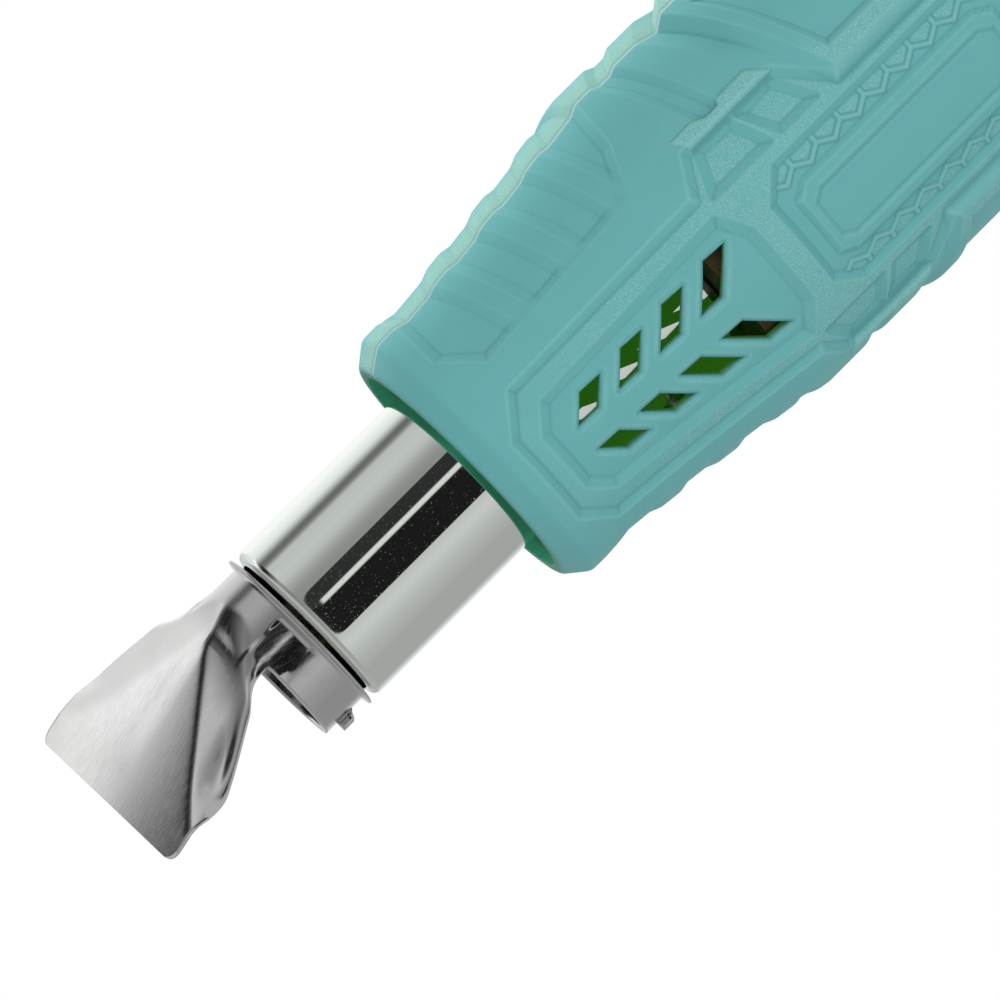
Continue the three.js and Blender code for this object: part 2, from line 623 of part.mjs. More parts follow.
function barrelMountRing() {
  const spigotOuter = TUBE_INNER_RADIUS - CLEARANCE;
  const profile = [
    [RING_BORE_RADIUS, RING_LOW],
    [RING_RADIUS, RING_LOW],
    [RING_RADIUS, RING_HIGH],
    [spigotOuter, RING_HIGH],
    [spigotOuter, SPIGOT_TOP],
    [spigotOuter - RING_SPIGOT_WALL, SPIGOT_TOP],
    [RING_BORE_RADIUS, RING_HIGH],
  ];
  return revolve(profile, 40);
}

const LINER_RADIUS = TUBE_INNER_RADIUS - CLEARANCE;
const PLATE_END_HALF = LINER_RADIUS - LINER_WALL - CLEARANCE;
const PLATE_HALF = COIL_RADIUS - COIL_WIRE_RADIUS - CLEARANCE;

// Crossed mica plates, each slotted to its middle to pass the other
function heaterPlate(slotFromTop) {
  const [low, high] = [HEATER_LOW, HEATER_LOW + PLATE_LENGTH];
  const half = PLATE_THICKNESS / 2;
  const web = block([-PLATE_HALF, PLATE_HALF], [-half, half], [low, high]);
  const foot = block([-PLATE_END_HALF, PLATE_END_HALF], [-half, half], [low, low + PLATE_END]);
  const head = block([-PLATE_END_HALF, PLATE_END_HALF], [-half, half], [high - PLATE_END, high]);
  const middle = (low + high) / 2;
  const slotHeights = slotFromTop ? [middle - CLEARANCE, FAR + high] : [-FAR, middle + CLEARANCE];
  const slot = block([-half - CLEARANCE, half + CLEARANCE], [-FAR, FAR], slotHeights);
  return cut(join(web, foot, head), slot);
}

class Helix extends THREE.Curve {
  getPoint(t, target = new THREE.Vector3()) {
    const turn = 2 * Math.PI * COIL_TURNS * t;
    const rise = COIL_PITCH * COIL_TURNS * (t - 0.5);
    return target.set(COIL_RADIUS * Math.cos(turn), COIL_RADIUS * Math.sin(turn), rise);
  }
}

function heatingCoil() {
  const corners = Array.from({ length: COIL_SIDES }, (_, i) => (2 * Math.PI * i) / COIL_SIDES);
  const wire = new THREE.Shape(corners.map((turn) => {
    return new THREE.Vector2(COIL_WIRE_RADIUS * Math.cos(turn), COIL_WIRE_RADIUS * Math.sin(turn));
  }));
  const options = { steps: COIL_TURNS * COIL_STEPS, bevelEnabled: false, extrudePath: new Helix() };
  return solid(new THREE.ExtrudeGeometry(wire, options).translate(0, 0, HEATER_LOW + PLATE_LENGTH / 2));
}

// Least gap between turns of the coil, measured on points of its middle line
function coilSelfGap() {
  const helix = new Helix();
  const steps = COIL_TURNS * COIL_STEPS;
  const points = helix.getPoints(steps);
  let least = Infinity;
  points.forEach((p, i) => points.slice(i + COIL_STEPS / 2).forEach((q) => {
    least = Math.min(least, p.distanceTo(q));
  }));
  return least - 2 * COIL_WIRE_RADIUS;
}

// Cut-out and fuse lie on the faces of plate a, in the open corners of the cross
const PLATE_FACE = PLATE_THICKNESS / 2 + CLEARANCE;
const PLATE_MIDDLE = HEATER_LOW + PLATE_LENGTH / 2;

function thermalCutout() {
  const [width, depth, height] = CUTOUT_SIZE;
  const left = PLATE_FACE + 1;
  const low = PLATE_MIDDLE - height / 2;
  const can = block([left, left + width], [PLATE_FACE, PLATE_FACE + depth], [low, low + height]);
  const top = PLATE_FACE + depth;
  const cap = block([left + 1, left + width - 1], [top - 0.1, top + 0.8], [low + 1, low + height - 1]);
  return join(can, cap);
}

function thermalFuse() {
  const middle = -PLATE_FACE - FUSE_RADIUS;
  const low = PLATE_MIDDLE - FUSE_LENGTH / 2;
  const geometry = new THREE.CylinderGeometry(FUSE_RADIUS, FUSE_RADIUS, FUSE_LENGTH, 12).rotateX(Math.PI / 2);
  const lead = new THREE.CylinderGeometry(0.4, 0.4, FUSE_LENGTH + 8, 8).rotateX(Math.PI / 2);
  const place = [middle - 2, middle, low + FUSE_LENGTH / 2];
  return join(solid(geometry.translate(...place)), solid(lead.translate(...place)));
}

// Deflector nozzle: a two-sided sheet over a grid of rows and columns. The collar goes all the way
// round, and the blade leaves it over an arc about the local +X axis.
const FLANGE_LOW = TUBE_HIGH + FLANGE_GAP;
const FLANGE_HIGH = FLANGE_LOW + SHEET;
const COLLAR_HIGH = FLANGE_HIGH + COLLAR_LENGTH;
const BLADE_LOW = COLLAR_HIGH - BLADE_OVERLAP;
const COLLAR_SHARE = BLADE_OVERLAP / BLADE_LENGTH;
const BLADE_COLUMNS = 20;
const COLLAR_COLUMNS = 24;
const BLADE_ROWS = 14;
const PRESS_SHARE = 0.2;
const CREASE_START = 0.2;
const CREASE_END = 0.86;
const WIDEN_START = 0.05;
const WIDEN_LENGTH = 0.7;
const WING_END = [0.62, 0.88];

function bladePoint(share, across) {
  const arc = radians(BLADE_HALF_ARC) * across;
  const round = new THREE.Vector2(COLLAR_RADIUS * Math.cos(arc), COLLAR_RADIUS * Math.sin(arc));
  const collarHalf = COLLAR_RADIUS * Math.sin(radians(BLADE_HALF_ARC));
  const fromTip = (1 - share) * BLADE_LENGTH;
  const rounding = Math.max(0, BLADE_CORNER - fromTip);
  const corner = BLADE_CORNER - Math.sqrt(BLADE_CORNER ** 2 - rounding ** 2);
  const tipHalf = BLADE_TIP_WIDTH / 2;
  const half = lerp(collarHalf, tipHalf, ease((share - WIDEN_START) / WIDEN_LENGTH)) - corner;
  const creaseShare = (share - CREASE_START) / (CREASE_END - CREASE_START);
  const crease = tipHalf * THREE.MathUtils.clamp(creaseShare, 0, 1);
  const drop = WING_DROP * (1 - THREE.MathUtils.smoothstep(share, ...WING_END));
  const out = Math.abs(across) * half;
  const wing = crease < half ? (drop * Math.max(0, out - crease)) / (half - crease) : 0;
  const crown = BLADE_CROWN * (0.5 - (out / tipHalf) ** 2);
  const top = lerp(COLLAR_RADIUS, BLADE_TIP_OFFSET, share);
  const pressed = new THREE.Vector2(top + crown - wing, Math.sign(across) * out);
  const start = COLLAR_SHARE * across ** 2;
  const blend = ease((share - start) / PRESS_SHARE);
  const point = round.lerp(pressed, blend);
  return new THREE.Vector3(point.x, point.y, BLADE_LOW + share * BLADE_LENGTH);
}

function bladePair(share, across) {
  const step = 0.01;
  const behind = bladePoint(Math.max(0, share - step), across);
  const along = bladePoint(Math.min(1, share + step), across).sub(behind);
  const beside = bladePoint(share, Math.max(-1, across - step));
  const side = bladePoint(share, Math.min(1, across + step)).sub(beside);
  const normal = side.cross(along).normalize();
  const outer = bladePoint(share, across);
  return [outer, outer.clone().addScaledVector(normal, -SHEET)];
}

function deflectorNozzle() {
  const inner = SPIGOT_RADIUS - SHEET;
  const collarInner = COLLAR_RADIUS - SHEET;
  const profile = [
    [SPIGOT_RADIUS, FLANGE_LOW - SPIGOT_LENGTH, inner, FLANGE_LOW - SPIGOT_LENGTH],
    [SPIGOT_RADIUS, FLANGE_LOW, inner, FLANGE_LOW],
    [FLANGE_RADIUS, FLANGE_LOW, inner, FLANGE_LOW + SHEET / 3],
    [FLANGE_RADIUS, FLANGE_HIGH, inner, FLANGE_LOW + (2 * SHEET) / 3],
    [COLLAR_RADIUS, FLANGE_HIGH, inner, FLANGE_HIGH],
    [COLLAR_RADIUS, BLADE_LOW, collarInner, BLADE_LOW],
  ];
  const columns = BLADE_COLUMNS + COLLAR_COLUMNS;
  const turnAt = (j) => {
    if (j <= BLADE_COLUMNS) return radians(BLADE_HALF_ARC) * ((2 * j) / BLADE_COLUMNS - 1);
    const rest = 2 * Math.PI - 2 * radians(BLADE_HALF_ARC);
    return radians(BLADE_HALF_ARC) + (rest * (j - BLADE_COLUMNS)) / COLLAR_COLUMNS;
  };
  const collarPair = (r, z, rIn, zIn, j) => [
    new THREE.Vector3(r * Math.cos(turnAt(j)), r * Math.sin(turnAt(j)), z),
    new THREE.Vector3(rIn * Math.cos(turnAt(j)), rIn * Math.sin(turnAt(j)), zIn),
  ];
  const shares = [COLLAR_SHARE / 2, COLLAR_SHARE];
  for (let i = 1; i <= BLADE_ROWS; i += 1) shares.push(lerp(COLLAR_SHARE, 1, i / BLADE_ROWS));
  shares.splice(-1, 0, 1 - BLADE_CORNER / BLADE_LENGTH / 3);
  const rows = profile.map((point) => Array.from({ length: columns }, (_, j) => collarPair(...point, j)));
  const blade = (share, j) => bladePair(share, (2 * j) / BLADE_COLUMNS - 1);
  shares.forEach((share) => {
    rows.push(Array.from({ length: columns }, (_, j) => {
      if (j > 0 && j < BLADE_COLUMNS) return blade(share, j);
      const z = BLADE_LOW + share * BLADE_LENGTH;
      if (share <= COLLAR_SHARE) return collarPair(COLLAR_RADIUS, z, collarInner, z, j);
      return j === 0 || j === BLADE_COLUMNS ? blade(share, j) : null;
    }));
  });
  const collarRows = profile.length + 1;
  const present = (i, j) => i >= 0 && i + 1 < rows.length && (i < collarRows || j < BLADE_COLUMNS);
  return twoSidedSheet(rows, columns, present);
}

// Close a grid of outer and inner points, with walls where the sheet ends
function twoSidedSheet(rows, columns, present) {
  const points = [];
  const index = new Map();
  const at = (i, j, face) => {
    const column = (j + columns) % columns;
    const key = `${i},${column},${face}`;
    if (!index.has(key)) {
      index.set(key, points.length);
      points.push(rows[i][column][face]);
    }
    return index.get(key);
  };
  const corners = [];
  const quad = (a, b, c, d) => corners.push(a, b, c, a, c, d);
  const edge = (i0, j0, i1, j1) => quad(at(i0, j0, 0), at(i0, j0, 1), at(i1, j1, 1), at(i1, j1, 0));
  for (let i = 0; i + 1 < rows.length; i += 1) {
    for (let j = 0; j < columns; j += 1) {
      if (!present(i, j)) continue;
      quad(at(i, j, 0), at(i, j + 1, 0), at(i + 1, j + 1, 0), at(i + 1, j, 0));
      quad(at(i, j, 1), at(i + 1, j, 1), at(i + 1, j + 1, 1), at(i, j + 1, 1));
      if (!present(i - 1, j)) edge(i, j, i, j + 1);
      if (!present(i + 1, j)) edge(i + 1, j + 1, i + 1, j);
      if (!present(i, (j + columns - 1) % columns)) edge(i + 1, j, i, j);
      if (!present(i, (j + 1) % columns)) edge(i, j + 1, i + 1, j + 1);
    }
  }
  const geometry = new THREE.BufferGeometry().setFromPoints(points);
  geometry.setIndex(corners);
  return solid(geometry);
}

function nozzleWithTab() {
  const sheet = solid(geometryOf(deflectorNozzle()).rotateZ(radians(BLADE_AZIMUTH - 90)));
  const [width, height] = TAB_SIZE;
  const low = FLANGE_HIGH + (COLLAR_LENGTH - height) / 2;
  const out = [COLLAR_RADIUS - SHEET / 2, COLLAR_RADIUS + TAB_STAND];
  const tab = block(out, [-width / 2, width / 2], [low, low + height]);
  return join(sheet, solid(geometryOf(tab).rotateZ(radians(TAB_AZIMUTH - 90))));
}

// Motor frame: fan ring, guide vanes and the cup that holds the motor
function motorFrame() {
  const fanRing = ring(FAN_SHROUD_RADIUS, FRAME_RADIUS, FRAME_LOW, FRAME_HIGH, 40);
  const cupOuter = CUP_INNER + CUP_WALL;
  const cup = ring(0, cupOuter, CUP_LOW, CUP_HIGH);
  const bore = ring(0, CUP_INNER, CUP_LOW - 1, CUP_HIGH - CUP_FLOOR);
  const vanes = Array.from({ length: FRAME_VANES }, (_, i) => {
    const geometry = new THREE.BoxGeometry(FAN_SHROUD_RADIUS - CUP_INNER, VANE_THICKNESS, VANE_HEIGHT);
    geometry.translate((FAN_SHROUD_RADIUS + CUP_INNER) / 2 + CUP_WALL / 2, 0, FRAME_LOW + VANE_HEIGHT / 2);
    return solid(geometry.rotateZ((2 * Math.PI * (i + 0.5)) / FRAME_VANES));
  });
  const nose = ring(0, BUSH_RADIUS + CLEARANCE, CUP_LOW, FAR + CUP_HIGH);
  const holes = [1, -1].map((side) => motorScrewHole(side));
  return cut(join(fanRing, cup, ...vanes), bore, nose, ...holes);
}

function upright(radius, x, y, low, high, sides = 12) {
  const geometry = new THREE.CylinderGeometry(radius, radius, high - low, sides).rotateX(Math.PI / 2);
  return solid(geometry.translate(x, y, (low + high) / 2));
}

function motorScrewHole(side) {
  const low = MOTOR_HIGH - 2 * MOTOR_FRONT_WALL;
  return upright(SCREW_RADIUS + CLEARANCE, side * MOTOR_SCREW_CIRCLE, 0, low, FAR + CUP_HIGH);
}

function motorScrew(side) {
  const x = side * MOTOR_SCREW_CIRCLE;
  const seat = CUP_HIGH + CLEARANCE;
  const shank = upright(SCREW_RADIUS, x, 0, MOTOR_HIGH - MOTOR_FRONT_WALL, seat + 0.1);
  const head = upright(SCREW_HEAD_RADIUS, x, 0, seat, seat + SCREW_HEAD_HEIGHT);
  return join(shank, head);
}

const MOTOR_INNER = MOTOR_RADIUS - MOTOR_WALL;

function motorCan() {
  const floor = MOTOR_HIGH - MOTOR_FRONT_WALL;
  const profile = [
    [MOTOR_INNER, MOTOR_LOW],
    [MOTOR_RADIUS, MOTOR_LOW],
    [MOTOR_RADIUS, MOTOR_HIGH],
    [BUSH_RADIUS + CLEARANCE, MOTOR_HIGH],
    [BUSH_RADIUS + CLEARANCE, floor],
    [MOTOR_INNER, floor],
  ];
  return cut(revolve(profile, 32), motorScrewHole(1), motorScrewHole(-1));
}

const MAGNET_MIDDLE = (MOTOR_LOW + MOTOR_HIGH) / 2;

function motorMagnet(side) {
  const outer = MOTOR_INNER - CLEARANCE;
  const half = radians(MAGNET_ARC) / 2;
  const shape = new THREE.Shape();
  shape.absarc(0, 0, outer, -half, half, false);
  shape.absarc(0, 0, outer - MAGNET_THICKNESS, half, -half, true);
  const options = { depth: MAGNET_LENGTH, bevelEnabled: false, curveSegments: 10 };
  const geometry = new THREE.ExtrudeGeometry(shape, options);
  geometry.translate(0, 0, MAGNET_MIDDLE - MAGNET_LENGTH / 2);
  return solid(side > 0 ? geometry : geometry.rotateZ(Math.PI));
}

const ARMATURE_RADIUS = MOTOR_INNER - CLEARANCE - MAGNET_THICKNESS - ARMATURE_GAP;
const SHAFT_HOLE = SHAFT_RADIUS + 2 * SHAFT_CLEARANCE;

function armatureCore() {
  const low = MAGNET_MIDDLE - ARMATURE_LENGTH / 2;
  const core = ring(SHAFT_HOLE, ARMATURE_RADIUS, low, low + ARMATURE_LENGTH, 30);
  const slots = Array.from({ length: ARMATURE_SLOTS }, (_, i) => {
    const geometry = new THREE.BoxGeometry(2 * ARMATURE_SLOT_DEPTH, ARMATURE_SLOT_WIDTH, 2 * ARMATURE_LENGTH);
    geometry.translate(ARMATURE_RADIUS, 0, MAGNET_MIDDLE);
    return solid(geometry.rotateZ((2 * Math.PI * i) / ARMATURE_SLOTS));
  });
  return cut(core, ...slots);
}

function commutator() {
  const high = MAGNET_MIDDLE - ARMATURE_LENGTH / 2 - CLEARANCE;
  return ring(SHAFT_HOLE, COMMUTATOR_RADIUS, high - COMMUTATOR_LENGTH, high, 20);
}

function motorEndCap() {
  const bore = BUSH_RADIUS + CLEARANCE;
  const profile = [
    [bore, END_CAP_LOW - BUSH_LENGTH / 2],
    [END_CAP_BOSS_RADIUS, END_CAP_LOW - BUSH_LENGTH / 2],
    [END_CAP_BOSS_RADIUS, END_CAP_LOW],
    [MOTOR_RADIUS, END_CAP_LOW],
    [MOTOR_RADIUS, END_CAP_HIGH],
    [MOTOR_INNER - CLEARANCE, END_CAP_HIGH],
    [MOTOR_INNER - CLEARANCE, END_CAP_HIGH + END_CAP_SPIGOT],
    [MOTOR_INNER - CLEARANCE - CUP_WALL, END_CAP_HIGH + END_CAP_SPIGOT],
    [MOTOR_INNER - CLEARANCE - CUP_WALL, END_CAP_HIGH],
    [bore, END_CAP_HIGH],
  ];
  return revolve(profile, 32);
}

function bush(middle) {
  return ring(SHAFT_HOLE, BUSH_RADIUS, middle - BUSH_LENGTH / 2, middle + BUSH_LENGTH / 2, 20);
}

const FAN_HIGH = FAN_LOW + FAN_HEIGHT;

function fanImpeller() {
  const hub = ring(SHAFT_HOLE, FAN_HUB_RADIUS, FAN_LOW, FAN_HIGH, 28);
  const blades = Array.from({ length: FAN_BLADES }, (_, i) => {
    const reach = FAN_RADIUS - FAN_HUB_RADIUS / 2;
    const geometry = new THREE.BoxGeometry(reach, FAN_BLADE_THICKNESS, FAN_HEIGHT, 3, 1, 1);
    geometry.translate(reach / 2 + FAN_HUB_RADIUS / 2, 0, 0);
    const place = geometry.getAttribute('position');
    for (let k = 0; k < place.count; k += 1) {
      const twist = radians(FAN_BLADE_TILT + place.getX(k));
      const [y, z] = [place.getY(k), place.getZ(k)];
      place.setY(k, y * Math.cos(twist) - z * Math.sin(twist));
      place.setZ(k, y * Math.sin(twist) + z * Math.cos(twist));
    }
    geometry.rotateZ((2 * Math.PI * i) / FAN_BLADES);
    return solid(geometry.translate(0, 0, (FAN_LOW + FAN_HIGH) / 2));
  });
  const envelope = ring(SHAFT_HOLE, FAN_RADIUS, FAN_LOW, FAN_HIGH, 40);
  return join(hub, ...blades).intersect(envelope);
}

// Circuit board and its pieces, on the face towards the switch
const BOARD_MIDDLE = BOARD_BOTTOM + BOARD_HEIGHT / 2;
const BOARD_SKIN = BOARD_FACE - CLEARANCE;
const CAPACITOR_LEFT = -(2 * CAPACITOR_RADIUS + BOARD_PIECE_GAP + RECTIFIER_SIZE[0]) / 2;

function circuitBoard() {
  const high = BOARD_BOTTOM + BOARD_HEIGHT;
  const board = block([-BOARD_HALF, BOARD_HALF], [BOARD_FACE, BOARD_BACK], [BOARD_BOTTOM, high]);
  const notch = block([-CAPACITOR_RADIUS, CAPACITOR_RADIUS], [-FAR, FAR], [high - BOARD_THICKNESS, FAR]);
  return cut(board, notch);
}

function rectifierBridge() {
  const [width, depth] = RECTIFIER_SIZE;
  const height = RECTIFIER_SHARE * BOARD_HEIGHT;
  const left = CAPACITOR_LEFT + 2 * CAPACITOR_RADIUS + BOARD_PIECE_GAP;
  const face = BOARD_SKIN - depth;
  const heights = [BOARD_MIDDLE - height / 2, BOARD_MIDDLE + height / 2];
  const body = block([left, left + width], [face, BOARD_SKIN], heights);
  const bevel = new THREE.BoxGeometry(2, 2, 3 * height).rotateZ(Math.PI / 4);
  return cut(body, solid(bevel.translate(left, face, BOARD_MIDDLE)));
}

function suppressorCapacitor() {
  const length = CAPACITOR_SHARE * BOARD_HEIGHT;
  const shape = new THREE.Shape();
  shape.absarc(0, 0, CAPACITOR_RADIUS, 0, 2 * Math.PI, false);
  const options = {
    depth: length - 2 * CAPACITOR_EDGE,
    bevelSize: CAPACITOR_EDGE,
    bevelOffset: -CAPACITOR_EDGE,
    bevelThickness: CAPACITOR_EDGE,
    bevelSegments: 1,
    curveSegments: 10,
  };
  const geometry = new THREE.ExtrudeGeometry(shape, options);
  const x = CAPACITOR_LEFT + CAPACITOR_RADIUS;
  return solid(geometry.translate(x, BOARD_SKIN - CAPACITOR_RADIUS, BOARD_MIDDLE - length / 2));
}

// Rocker switch: body with its bezel, the rocker on two pins, and three terminals
const BEZEL_FACE = -SWITCH_POCKET_FACE - CLEARANCE - SWITCH_BEZEL_THICKNESS;
const SWITCH_BACK = BEZEL_FACE + SWITCH_BEZEL_THICKNESS + SWITCH_BODY_DEPTH;
const PIVOT_Y = BEZEL_FACE + ROCKER_DIP / 2;
const ROCKER_REACH = Math.hypot(ROCKER_HALF_LENGTH, ROCKER_RISE) + CLEARANCE;

function switchBody() {
  const span = (size, middle = 0) => [middle - size / 2, middle + size / 2];
  const bezelBack = BEZEL_FACE + SWITCH_BEZEL_THICKNESS;
  const bezel = block(span(SWITCH_BEZEL[0]), [BEZEL_FACE, bezelBack], span(SWITCH_BEZEL[1], SWITCH_HEIGHT));
  const bodyFront = bezelBack - SWITCH_BEZEL_THICKNESS / 2;
  const body = block(span(SWITCH_BODY[0]), [bodyFront, SWITCH_BACK], span(SWITCH_BODY[1], SWITCH_HEIGHT));
  const well = block(
    span(ROCKER_WIDTH + 2 * CLEARANCE),
    [-FAR, PIVOT_Y + ROCKER_DEPTH + ROCKER_DIP + CLEARANCE],
    span(2 * ROCKER_REACH, SWITCH_HEIGHT),
  );
  const pinSpan = span(ROCKER_WIDTH + 4 * ROCKER_PIN_LENGTH);
  const pinHole = rodX(ROCKER_PIN_RADIUS + SHAFT_CLEARANCE, PIVOT_Y, SWITCH_HEIGHT, pinSpan, 16);
  const sockets = [-1, 0, 1].map((row) => {
    const [width, , thickness] = TERMINAL_SIZE;
    const z = SWITCH_HEIGHT + row * TERMINAL_PITCH;
    const depth = [SWITCH_BACK - TERMINAL_SOCKET, FAR];
    return block(span(width + 2 * CLEARANCE), depth, span(thickness + 2 * CLEARANCE, z));
  });
  return cut(join(bezel, body), well, pinHole, ...sockets);
}

function switchTerminal(row) {
  const [width, length, thickness] = TERMINAL_SIZE;
  const z = SWITCH_HEIGHT + row * TERMINAL_PITCH;
  const low = SWITCH_BACK - TERMINAL_SOCKET + CLEARANCE;
  const blade = block([-width / 2, width / 2], [low, low + length], [z - thickness / 2, z + thickness / 2]);
  const hole = new THREE.CylinderGeometry(thickness, thickness, 4 * thickness, 10).rotateX(Math.PI / 2);
  return cut(blade, solid(hole.translate(0, low + length - 2, z)));
}

function switchRocker() {
  const profile = [
    [-ROCKER_HALF_LENGTH, ROCKER_RISE],
    [-ROCKER_HALF_LENGTH + 0.2, -0.5],
    [-ROCKER_DEPTH, -ROCKER_DEPTH],
    [ROCKER_DEPTH, -ROCKER_DEPTH],
    [ROCKER_HALF_LENGTH - 0.2, -0.5],
    [ROCKER_HALF_LENGTH, ROCKER_RISE],
    [0, ROCKER_DIP],
  ];
  const shape = new THREE.Shape(profile.map(([z, out]) => new THREE.Vector2(-out, z)));
  const geometry = new THREE.ExtrudeGeometry(shape, { depth: ROCKER_WIDTH, bevelEnabled: false });
  const [along, across, up] = [[0, 1, 0], [0, 0, 1], [1, 0, 0]].map((axis) => new THREE.Vector3(...axis));
  geometry.applyMatrix4(new THREE.Matrix4().makeBasis(along, across, up));
  geometry.translate(-ROCKER_WIDTH / 2, PIVOT_Y, SWITCH_HEIGHT);
  const half = ROCKER_WIDTH / 2 + ROCKER_PIN_LENGTH;
  return join(solid(geometry), rodX(ROCKER_PIN_RADIUS, PIVOT_Y, SWITCH_HEIGHT, [-half, half], 16));
}

// Cord gland through the seam, and the clamp behind it
function cordGland() {
  const profile = [
    [CORD_RADIUS, GLAND_OUT - GLAND_FLANGE_THICKNESS],
    [GLAND_FLANGE_RADIUS - 1, GLAND_OUT - GLAND_FLANGE_THICKNESS],
    [GLAND_FLANGE_RADIUS, GLAND_OUT - GLAND_FLANGE_THICKNESS / 2],
    [GLAND_FLANGE_RADIUS, GLAND_OUT],
    [GLAND_NECK_RADIUS, GLAND_OUT],
    [GLAND_NECK_RADIUS, GLAND_IN],
    [GLAND_FLANGE_RADIUS, GLAND_IN],
    [GLAND_FLANGE_RADIUS, GLAND_IN + GLAND_FLANGE_THICKNESS],
    [CORD_RADIUS, GLAND_IN + GLAND_FLANGE_THICKNESS],
  ];
  const points = profile.map(([r, along]) => new THREE.Vector2(r, -along));
  points.push(points[0].clone());
  const geometry = new THREE.LatheGeometry(points, 24).rotateZ(Math.PI / 2);
  return solid(geometry.translate(0, 0, GLAND_HEIGHT));
}

function cordClamp() {
  const [width, thickness, height] = CLAMP_SIZE;
  const top = CLAMP_SEAT - CLEARANCE;
  const heights = [GLAND_HEIGHT - height / 2, GLAND_HEIGHT + height / 2];
  const bar = block([CLAMP_X - width / 2, CLAMP_X + width / 2], [top - thickness, top], heights);
  const groove = rodX(CORD_RADIUS, top + CORD_RADIUS - thickness / 2, GLAND_HEIGHT, [-FAR, FAR], 16);
  const holes = CLAMP_PLACES.map(([x, z]) => rodY(SCREW_RADIUS + CLEARANCE, x, z, [-FAR, FAR], 12));
  return cut(bar, groove, ...holes);
}

// A screw that goes in from the front, so its head is at the low end of Y
function clampScrew([x, z]) {
  const seat = CLAMP_SEAT - 2 * CLEARANCE - CLAMP_SIZE[1];
  const geometry = geometryOf(screw(0, 0, 0, CLAMP_SCREW_LENGTH)).rotateZ(Math.PI);
  return solid(geometry.translate(x, seat, z));
}

// Materials
function finish(color, roughness, metalness) {
  return new THREE.MeshStandardMaterial({ color, roughness, metalness });
}

const TEAL = finish(0x64a8ac, 0.5, 0);
const CHROME = finish(0xdadfdc, 0.08, 1);
const STAINLESS = finish(0xc4c6c6, 0.2, 1);
const STEEL = finish(0x8f9294, 0.35, 1);
const PHENOLIC = finish(0x6b3d1e, 0.6, 0);
const MICA = finish(0xb9a98a, 0.55, 0);
const NICHROME = finish(0x6f6a66, 0.45, 1);
const BLACK = finish(0x1b1c1e, 0.45, 0);
const BRASS = finish(0xb9964a, 0.3, 1);
const FERRITE = finish(0x3a3a3d, 0.7, 0);
const FAN_PLASTIC = finish(0xe6e4dc, 0.5, 0);
const COPPER = finish(0xb26a3c, 0.35, 1);
const BOARD_GREEN = finish(0x2c6b3c, 0.5, 0);
const CAPACITOR_YELLOW = finish(0xc9a22e, 0.5, 0);

const tool = new THREE.Group();
tool.name = 'hot_air_tool';

function add(name, shape, material, turn = 0) {
  const mesh = new THREE.Mesh(geometryOf(shape), material);
  mesh.name = name;
  mesh.rotation.z = turn;
  tool.add(mesh);
}

add('front_shell', frontShell(), TEAL);
add('rear_shell', rearShell(), TEAL);
add('barrel_tube', barrelTube(), CHROME);
add('deflector_nozzle', nozzleWithTab(), STAINLESS);
add('barrel_mount_ring', barrelMountRing(), PHENOLIC);
add('mica_liner', ring(LINER_RADIUS - LINER_WALL, LINER_RADIUS, HEATER_LOW, HEATER_LOW + LINER_LENGTH), MICA);
add('heater_plate_a', heaterPlate(true), MICA);
add('heater_plate_b', heaterPlate(false), MICA, Math.PI / 2);
add('heating_coil', heatingCoil(), NICHROME);
add('thermal_cutout', thermalCutout(), STEEL);
add('thermal_fuse', thermalFuse(), STEEL);
add('motor_frame', motorFrame(), BLACK);
add('motor_can', motorCan(), STEEL);
add('motor_end_cap', motorEndCap(), BLACK);
add('motor_magnet_a', motorMagnet(1), FERRITE);
add('motor_magnet_b', motorMagnet(-1), FERRITE);
add('front_bush', bush(MOTOR_HIGH - MOTOR_FRONT_WALL / 2), BRASS);
add('rear_bush', bush(END_CAP_LOW), BRASS);
add('motor_screw_1', motorScrew(1), STEEL);
add('motor_screw_2', motorScrew(-1), STEEL);
add('motor_shaft', ring(0, SHAFT_RADIUS, SHAFT_LOW, FAN_HIGH, 16), STEEL);
add('armature_core', armatureCore(), COPPER);
add('commutator', commutator(), COPPER);
add('fan_impeller', fanImpeller(), FAN_PLASTIC);
add('circuit_board', circuitBoard(), BOARD_GREEN);
add('rectifier_bridge', rectifierBridge(), BLACK);
add('suppressor_capacitor', suppressorCapacitor(), CAPACITOR_YELLOW);
add('switch_body', switchBody(), BLACK);
add('switch_rocker', switchRocker(), BLACK);
[-1, 0, 1].forEach((row, i) => add(`switch_terminal_${i + 1}`, switchTerminal(row), BRASS));
add('cord_gland', cordGland(), BLACK);
add('cord_clamp', cordClamp(), BLACK);
CLAMP_PLACES.forEach((place, i) => add(`clamp_screw_${i + 1}`, clampScrew(place), STEEL));
SCREW_PLACES.forEach(([x, z], i) => {
  add(`shell_screw_${i + 1}`, screw(x, z, SCREW_SEAT + CLEARANCE, SCREW_SEAT + SCREW_REACH), STEEL);
});

console.log(`least gap between turns of the heating coil: ${coilSelfGap().toFixed(2)} mm`);

export default tool;
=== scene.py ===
import json
import math

import bpy
import numpy as np
from mathutils import Matrix, Vector


